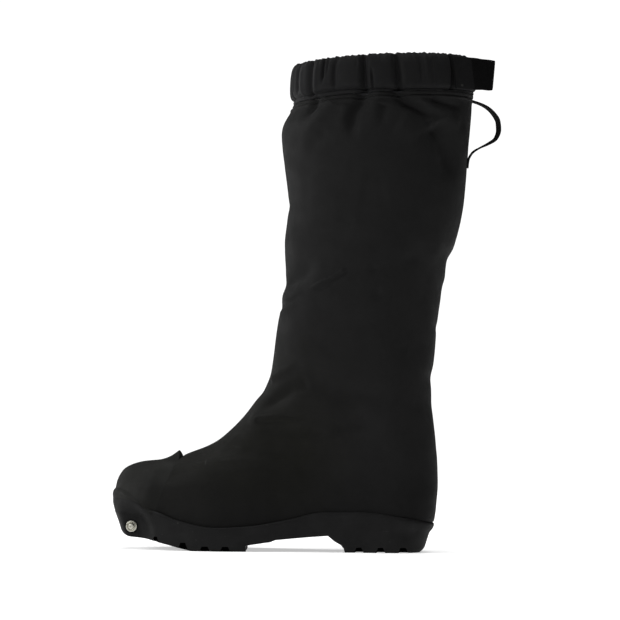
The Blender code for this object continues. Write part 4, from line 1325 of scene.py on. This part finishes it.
class Shader:
    """A material with one Principled shader, and short ways to add the nodes that feed it."""

    def __init__(self, name, colour, roughness, **constants):
        self.material = bpy.data.materials.new(name)
        self.material.use_nodes = True
        self.tree = self.material.node_tree
        self.main = self.tree.nodes["Principled BSDF"]
        self.main.inputs["Base Color"].default_value = (*colour, 1.0)
        self.main.inputs["Roughness"].default_value = roughness
        for socket, value in constants.items():
            self.main.inputs[socket.replace("_", " ")].default_value = value
        self.material.diffuse_color = (*colour, 1.0)

    def add(self, kind, inputs=(), **settings):
        node = self.tree.nodes.new(kind)
        for setting, value in settings.items():
            setattr(node, setting, value)
        for socket, value in dict(inputs).items():
            if isinstance(value, bpy.types.NodeSocket):
                self.tree.links.new(value, node.inputs[socket])
            else:
                node.inputs[socket].default_value = value
        return node

    def place(self):
        """Object coordinates in metres."""
        return self.add("ShaderNodeTexCoord").outputs["Object"]

    def noise(self, scale, detail=3.0, vector=None, roughness=0.55):
        inputs = {"Scale": scale, "Detail": detail, "Roughness": roughness, "Vector": vector or self.place()}
        return self.add("ShaderNodeTexNoise", inputs).outputs["Fac"]

    def math(self, operation, *values):
        return self.add("ShaderNodeMath", dict(enumerate(values)), operation=operation).outputs[0]

    def span(self, value, low, high, new_low, new_high):
        """Maps a range of a value onto another, and stops at its ends."""
        inputs = {0: value, 1: low, 2: high, 3: new_low, 4: new_high}
        return self.add("ShaderNodeMapRange", inputs, clamp=True).outputs[0]

    def mix(self, factor, a, b):
        """Mixes two colours."""
        node = self.add("ShaderNodeMix", data_type="RGBA")
        for index, value in ((0, factor), (6, a), (7, b)):
            if isinstance(value, bpy.types.NodeSocket):
                self.tree.links.new(value, node.inputs[index])
            else:
                node.inputs[index].default_value = value if index == 0 else (*value, 1.0)
        return node.outputs[2]

    def feed(self, socket, value):
        self.tree.links.new(value, self.main.inputs[socket])

    def bump(self, height, distance, strength, under=None):
        """Raises a height map over the surface, on top of another bump if one is given."""
        inputs = {"Height": height, "Distance": distance, "Strength": strength}
        if under is not None:
            inputs["Normal"] = under
        return self.add("ShaderNodeBump", inputs).outputs["Normal"]

    def spot(self, mark):
        """1 inside a small box of (station, y, height) with half sizes in millimetres, 0 outside it."""
        axes = self.add("ShaderNodeSeparateXYZ", {0: self.place()})
        inside = 1.0
        for axis, middle, half in zip(axes.outputs, (mark[0] - ORIGIN_STATION, *mark[1:3]), mark[3:]):
            away = self.math("ABSOLUTE", self.math("SUBTRACT", axis, middle * MM))
            inside = self.math("MULTIPLY", inside, self.span(away, half * 0.6 * MM, half * MM, 1.0, 0.0))
        return inside

    def weave(self, pitch):
        """A plain weave over the cloth's own UV: threads that cross over and under."""
        uv = self.add("ShaderNodeUVMap", uv_map="cloth").outputs["UV"]
        axes = self.add("ShaderNodeSeparateXYZ", {0: uv})
        waves = [self.math("SINE", self.math("MULTIPLY", axes.outputs[k], math.pi / pitch)) for k in (0, 1)]
        return self.math("MULTIPLY", *waves)


def tone(colour, share):
    """A darker or lighter tone of a colour."""
    return tuple(channel * share for channel in colour)


def cloth_material(name, colour, foot_colour=None, dust=0.0, mark=None, wear_and_painted_light=None):
    """Tight woven shell cloth, nearly black, with a faint sheen. It may have a colour of its own at the
    foot, dust and a light mark, and painted light that makes it paler towards the front, up to two given
    stations."""
    made = Shader(name, colour, 0.62, Specular_IOR_Level=0.07, Sheen_Weight=0.02, Sheen_Roughness=0.45)
    height = made.add("ShaderNodeSeparateXYZ", {0: made.place()}).outputs["Z"]
    place = made.add("ShaderNodeSeparateXYZ", {0: made.place()}).outputs["X"]
    low, ahead = made.span(height, 0.1, 0.22, 1.0, 0.0), made.span(place, 0.0, 0.06, 1.0, 0.0)
    base = made.mix(made.math("MULTIPLY", low, ahead), colour, foot_colour or colour)
    cloudy = made.span(made.noise(22.0, 4.0), 0.3, 0.7, 0.0, 1.0)
    base = made.mix(made.math("MULTIPLY", cloudy, 0.5), base, tone(colour, 0.72))
    # Darker towards the bottom, below 85 mm over the floor.
    base = made.mix(made.span(height, 0.03, 0.085, 0.8, 0.0), base, tone(colour, 0.6))
    if dust:
        specks = made.span(made.noise(900.0, 2.0), 0.74, 0.8, 0.0, dust)
        base = made.mix(specks, base, (0.05, 0.05, 0.048))
    if mark:
        base = made.mix(made.spot(mark), base, (0.028, 0.028, 0.026))
    # Painted light: the collar's front is made paler, as where the light falls on it.
    if wear_and_painted_light:
        first, last = ((station - ORIGIN_STATION) * MM for station in wear_and_painted_light)
        base = made.mix(made.span(place, first, last, 1.0, 0.0), base, tone(colour, 1.8))
    made.feed("Base Color", base)
    made.feed("Roughness", made.span(made.noise(60.0, 5.0), 0.3, 0.7, 0.54, 0.72))
    soft = made.bump(made.noise(240.0, 4.0), 0.0006, 0.25)
    made.feed("Normal", made.bump(made.weave(CLOTH_PITCH), 0.0002, 0.35, soft))
    return made.material


def rubber_material(name, colour, roughness, painted_shade_back=False):
    """Matt moulded rubber with a fine grain, worn patches and scratches, perhaps with painted shade low down
    behind the toe.
    """
    made = Shader(name, colour, roughness, Specular_IOR_Level=0.1)
    wear_and_painted_light = made.span(made.noise(36.0, 6.0, roughness=0.7), 0.42, 0.72, 0.0, 1.0)
    base = made.mix(wear_and_painted_light, colour, tone(colour, 1.5))
    stretched = made.add("ShaderNodeMapping", {"Vector": made.place(), "Scale": (40.0, 900.0, 420.0)})
    lines = made.span(made.noise(1.0, 3.0, stretched.outputs[0]), 0.69, 0.76, 0.0, 0.5)
    base = made.mix(lines, base, (0.05, 0.05, 0.047))
    if painted_shade_back:
        # Painted shade: darkens the cap low down behind the toe, where shade falls by the cloth.
        axes = made.add("ShaderNodeSeparateXYZ", {0: made.place()})
        back = made.math("MULTIPLY", made.span(axes.outputs["X"], -0.166, -0.138, 0.0, 0.85),
                         made.span(axes.outputs["Z"], 0.06, 0.08, 1.0, 0.0))
        base = made.mix(back, base, tone(colour, 0.55))
    made.feed("Base Color", base)
    made.feed("Roughness", made.span(made.noise(55.0, 5.0), 0.3, 0.7, roughness - 0.08, roughness + 0.12))
    grain = made.bump(made.noise(1400.0, 3.0), 0.00025, 0.3)
    made.feed("Normal", made.bump(made.noise(130.0, 3.0), 0.0006, 0.12, grain))
    return made.material


def groove_shade_material():
    """Rubber in the tread's grooves, painted almost black as the shade that falls in them, matt and without
    gloss.
    """
    made = Shader("groove_painted_shade", (0.0012, 0.0012, 0.0012), 1.0, Specular_IOR_Level=0.0)
    # Painted shade: a near-black tone with a little noise in it.
    painted_shade_tone = made.mix(made.noise(700.0, 3.0), (0.0008, 0.0008, 0.0008), (0.0018, 0.0018, 0.0017))
    made.feed("Base Color", painted_shade_tone)
    made.feed("Normal", made.bump(made.noise(900.0, 3.0), 0.0003, 0.3))
    return made.material


def lining_material():
    """A knitted lining, dark grey and matt."""
    made = Shader("knit_lining", (0.012, 0.012, 0.013), 0.9, Specular_IOR_Level=0.15, Sheen_Weight=0.08)
    made.feed("Base Color", made.mix(made.noise(400.0, 3.0), (0.008, 0.008, 0.009), (0.02, 0.02, 0.021)))
    made.feed("Normal", made.bump(made.weave(1.1), 0.0004, 0.6))
    return made.material


def felt_material():
    """Grey felt with short loose fibres."""
    made = Shader("grey_felt", (0.05, 0.05, 0.054), 0.95, Specular_IOR_Level=0.15, Sheen_Weight=0.2)
    made.feed("Base Color", made.mix(made.noise(700.0, 5.0), (0.03, 0.03, 0.033), (0.075, 0.075, 0.08)))
    made.feed("Normal", made.bump(made.noise(1300.0, 5.0), 0.0007, 0.7))
    return made.material


def webbing_material(name, colour, pitch, strength):
    """Woven tape or hook tape: coarse threads and a dull surface."""
    made = Shader(name, colour, 0.8, Specular_IOR_Level=0.04)
    made.feed("Base Color", made.mix(made.noise(500.0, 3.0), colour, tone(colour, 1.6)))
    made.feed("Normal", made.bump(made.weave(pitch), 0.0004, strength))
    return made.material


def steel_material():
    """Turned steel, slightly warm, with tool rings and stains."""
    made = Shader("turned_steel", (0.55, 0.54, 0.48), 0.32, Metallic=1.0)
    axes = made.add("ShaderNodeSeparateXYZ", {0: made.place()})
    x = made.math("SUBTRACT", axes.outputs["X"], (PIN_STATION - ORIGIN_STATION) * MM)
    z = made.math("SUBTRACT", axes.outputs["Z"], PIN_HEIGHT * MM)
    radius = made.math("SQRT", made.math("ADD", made.math("MULTIPLY", x, x), made.math("MULTIPLY", z, z)))
    rings = made.math("SINE", made.math("MULTIPLY", radius, TAU / 0.00035))
    made.feed("Normal", made.bump(rings, 0.00005, 0.4))
    stain = made.span(made.noise(900.0, 4.0), 0.4, 0.7, 0.0, 1.0)
    made.feed("Base Color", made.mix(stain, (0.6, 0.59, 0.52), (0.3, 0.29, 0.25)))
    made.feed("Roughness", made.span(made.noise(1500.0, 4.0), 0.3, 0.7, 0.22, 0.45))
    return made.material


def build_floor():
    """A pale floor, which glows enough to look white."""
    reach = FLOOR_SIZE / 2
    quarters = ((-1, -1), (1, -1), (1, 1), (-1, 1))
    corners = [(x * reach + ORIGIN_STATION, y * reach, 0.0) for x, y in quarters]
    made = Shader("pale_floor", (0.9, 0.9, 0.9), 0.8, Specular_IOR_Level=0.0, Emission_Strength=0.5)
    made.feed("Base Color", made.mix(made.noise(6.0, 2.0), (0.9, 0.9, 0.9), (0.88, 0.88, 0.88)))
    floor = make_mesh("studio_floor", corners, [[0, 1, 2, 3]], (made.material,))


def build_lamp(name, place, power):
    """A soft rectangular lamp that points at the boot."""
    data = bpy.data.lights.new(name, "AREA")
    data.shape = "RECTANGLE"
    data.size, data.size_y = LAMP_SIZE
    data.energy = power
    lamp = bpy.data.objects.new(name, data)
    lamp.location = place
    lamp.rotation_mode = "QUATERNION"
    lamp.rotation_quaternion = (Vector(LAMP_AIM) - Vector(place)).to_track_quat("-Z", "Y")
    bpy.context.scene.collection.objects.link(lamp)


def build_studio():
    """Soft lamps beyond the toe and the outer side, a sun overhead, and a sky that looks white."""
    world = bpy.data.worlds.new("studio")
    world.use_nodes = True
    tree = world.node_tree
    tree.nodes.clear()
    output = tree.nodes.new("ShaderNodeOutputWorld")
    seen, lit = (tree.nodes.new("ShaderNodeBackground") for _ in range(2))
    for sky, strength in ((seen, SKY_SEEN), (lit, SKY_LIGHT)):
        sky.inputs["Color"].default_value = (1.0, 1.0, 1.0, 1.0)
        sky.inputs["Strength"].default_value = strength
    path = tree.nodes.new("ShaderNodeLightPath")
    mix = tree.nodes.new("ShaderNodeMixShader")
    tree.links.new(path.outputs["Is Camera Ray"], mix.inputs[0])
    tree.links.new(lit.outputs[0], mix.inputs[1])
    tree.links.new(seen.outputs[0], mix.inputs[2])
    tree.links.new(mix.outputs[0], output.inputs["Surface"])
    bpy.context.scene.world = world
    for name, place, power in LAMPS:
        build_lamp(name, place, power)
    sun = bpy.data.lights.new("overhead", "SUN")
    sun.energy = SUN_STRENGTH
    sun.angle = math.radians(SUN_ANGLE)
    bpy.context.scene.collection.objects.link(bpy.data.objects.new("overhead", sun))
    view = bpy.context.scene.view_settings
    view.view_transform = "Standard"
    view.look = "None"


def build_camera():
    """The camera, with the photograph's angle and a slight roll."""
    azimuth = math.radians(CAMERA_AZIMUTH)
    x, y = math.sin(azimuth) * CAMERA_DISTANCE, -math.cos(azimuth) * CAMERA_DISTANCE
    place = Vector((x, y, CAMERA_HEIGHT))
    right, height = CAMERA_AIM
    aim = Vector((right * math.cos(azimuth), right * math.sin(azimuth), height))
    data = bpy.data.cameras.new("camera")
    data.lens = CAMERA_LENS
    data.sensor_width = CAMERA_SENSOR
    camera = bpy.data.objects.new("camera", data)
    camera.location = place
    camera.rotation_mode = "QUATERNION"
    turn = Quaternion((0.0, 0.0, 1.0), math.radians(CAMERA_ROLL))
    camera.rotation_quaternion = (aim - place).to_track_quat("-Z", "Y") @ turn
    bpy.context.scene.collection.objects.link(camera)
    bpy.context.scene.camera = camera


def dress(piece, slot, *nodes):
    """Ties a piece to the boot's body and hides the imported nodes that it stands for. slot is not used."""
    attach(piece, "root")
    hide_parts(*nodes)


def build_fabric():
    """The upper, the collar, the strap and the loop."""
    lining = lining_material()
    cloth = cloth_material("shell_cloth", (0.0083, 0.0083, 0.0083), (0.0072, 0.0072, 0.0057), 0.2, LINT)
    dress(build_upper(cloth, lining), "gaiter_fabric", "upper")
    # Painted light makes the collar's front paler.
    cloth = cloth_material("collar_cloth", (0.0077, 0.0077, 0.0080), wear_and_painted_light=COLLAR_PAINTED_LIGHT)
    dress(build_collar(cloth, lining), "gaiter_fabric", "collar")
    cloth = cloth_material("strap_cloth", (0.0044, 0.0044, 0.0046), mark=STRAP_TACK)
    hook_side = webbing_material("hook_tape", (0.0022, 0.0022, 0.0022), 0.9, 0.5)
    dress(build_strap(cloth, hook_side), "webbing", "closure_strap")
    tape = webbing_material("tape", (0.007, 0.007, 0.007), 0.8, 0.7)
    dress(build_loop(tape), "webbing", "pull_loop")


def build_foot():
    """The toe cap, the sole with its pins, and the insole."""
    # The cap gets painted shade low down behind the toe.
    rubber = rubber_material("cap_rubber", (0.0070, 0.0071, 0.0063), 0.62, painted_shade_back=True)
    dress(build_toe_cap(rubber), "toe_rubber", "toe_cap")
    rubber = rubber_material("sole_rubber_look", (0.0059, 0.0059, 0.0060), 0.62)
    # The grooves' walls get painted shade.
    dress(build_sole(rubber, groove_shade_material()), "sole_rubber", "sole")
    dress(build_insole(felt_material()), "insole_felt", "insole")
    steel = steel_material()
    for side, sign in SIDES:
        dress(build_pin(side, sign, steel), "pin_steel", f"binding_pin_{side}")


def main():
    """Builds the studio and the dressed boot."""
    build_camera()
    build_studio()
    build_floor()
    build_fabric()
    build_foot()


main()
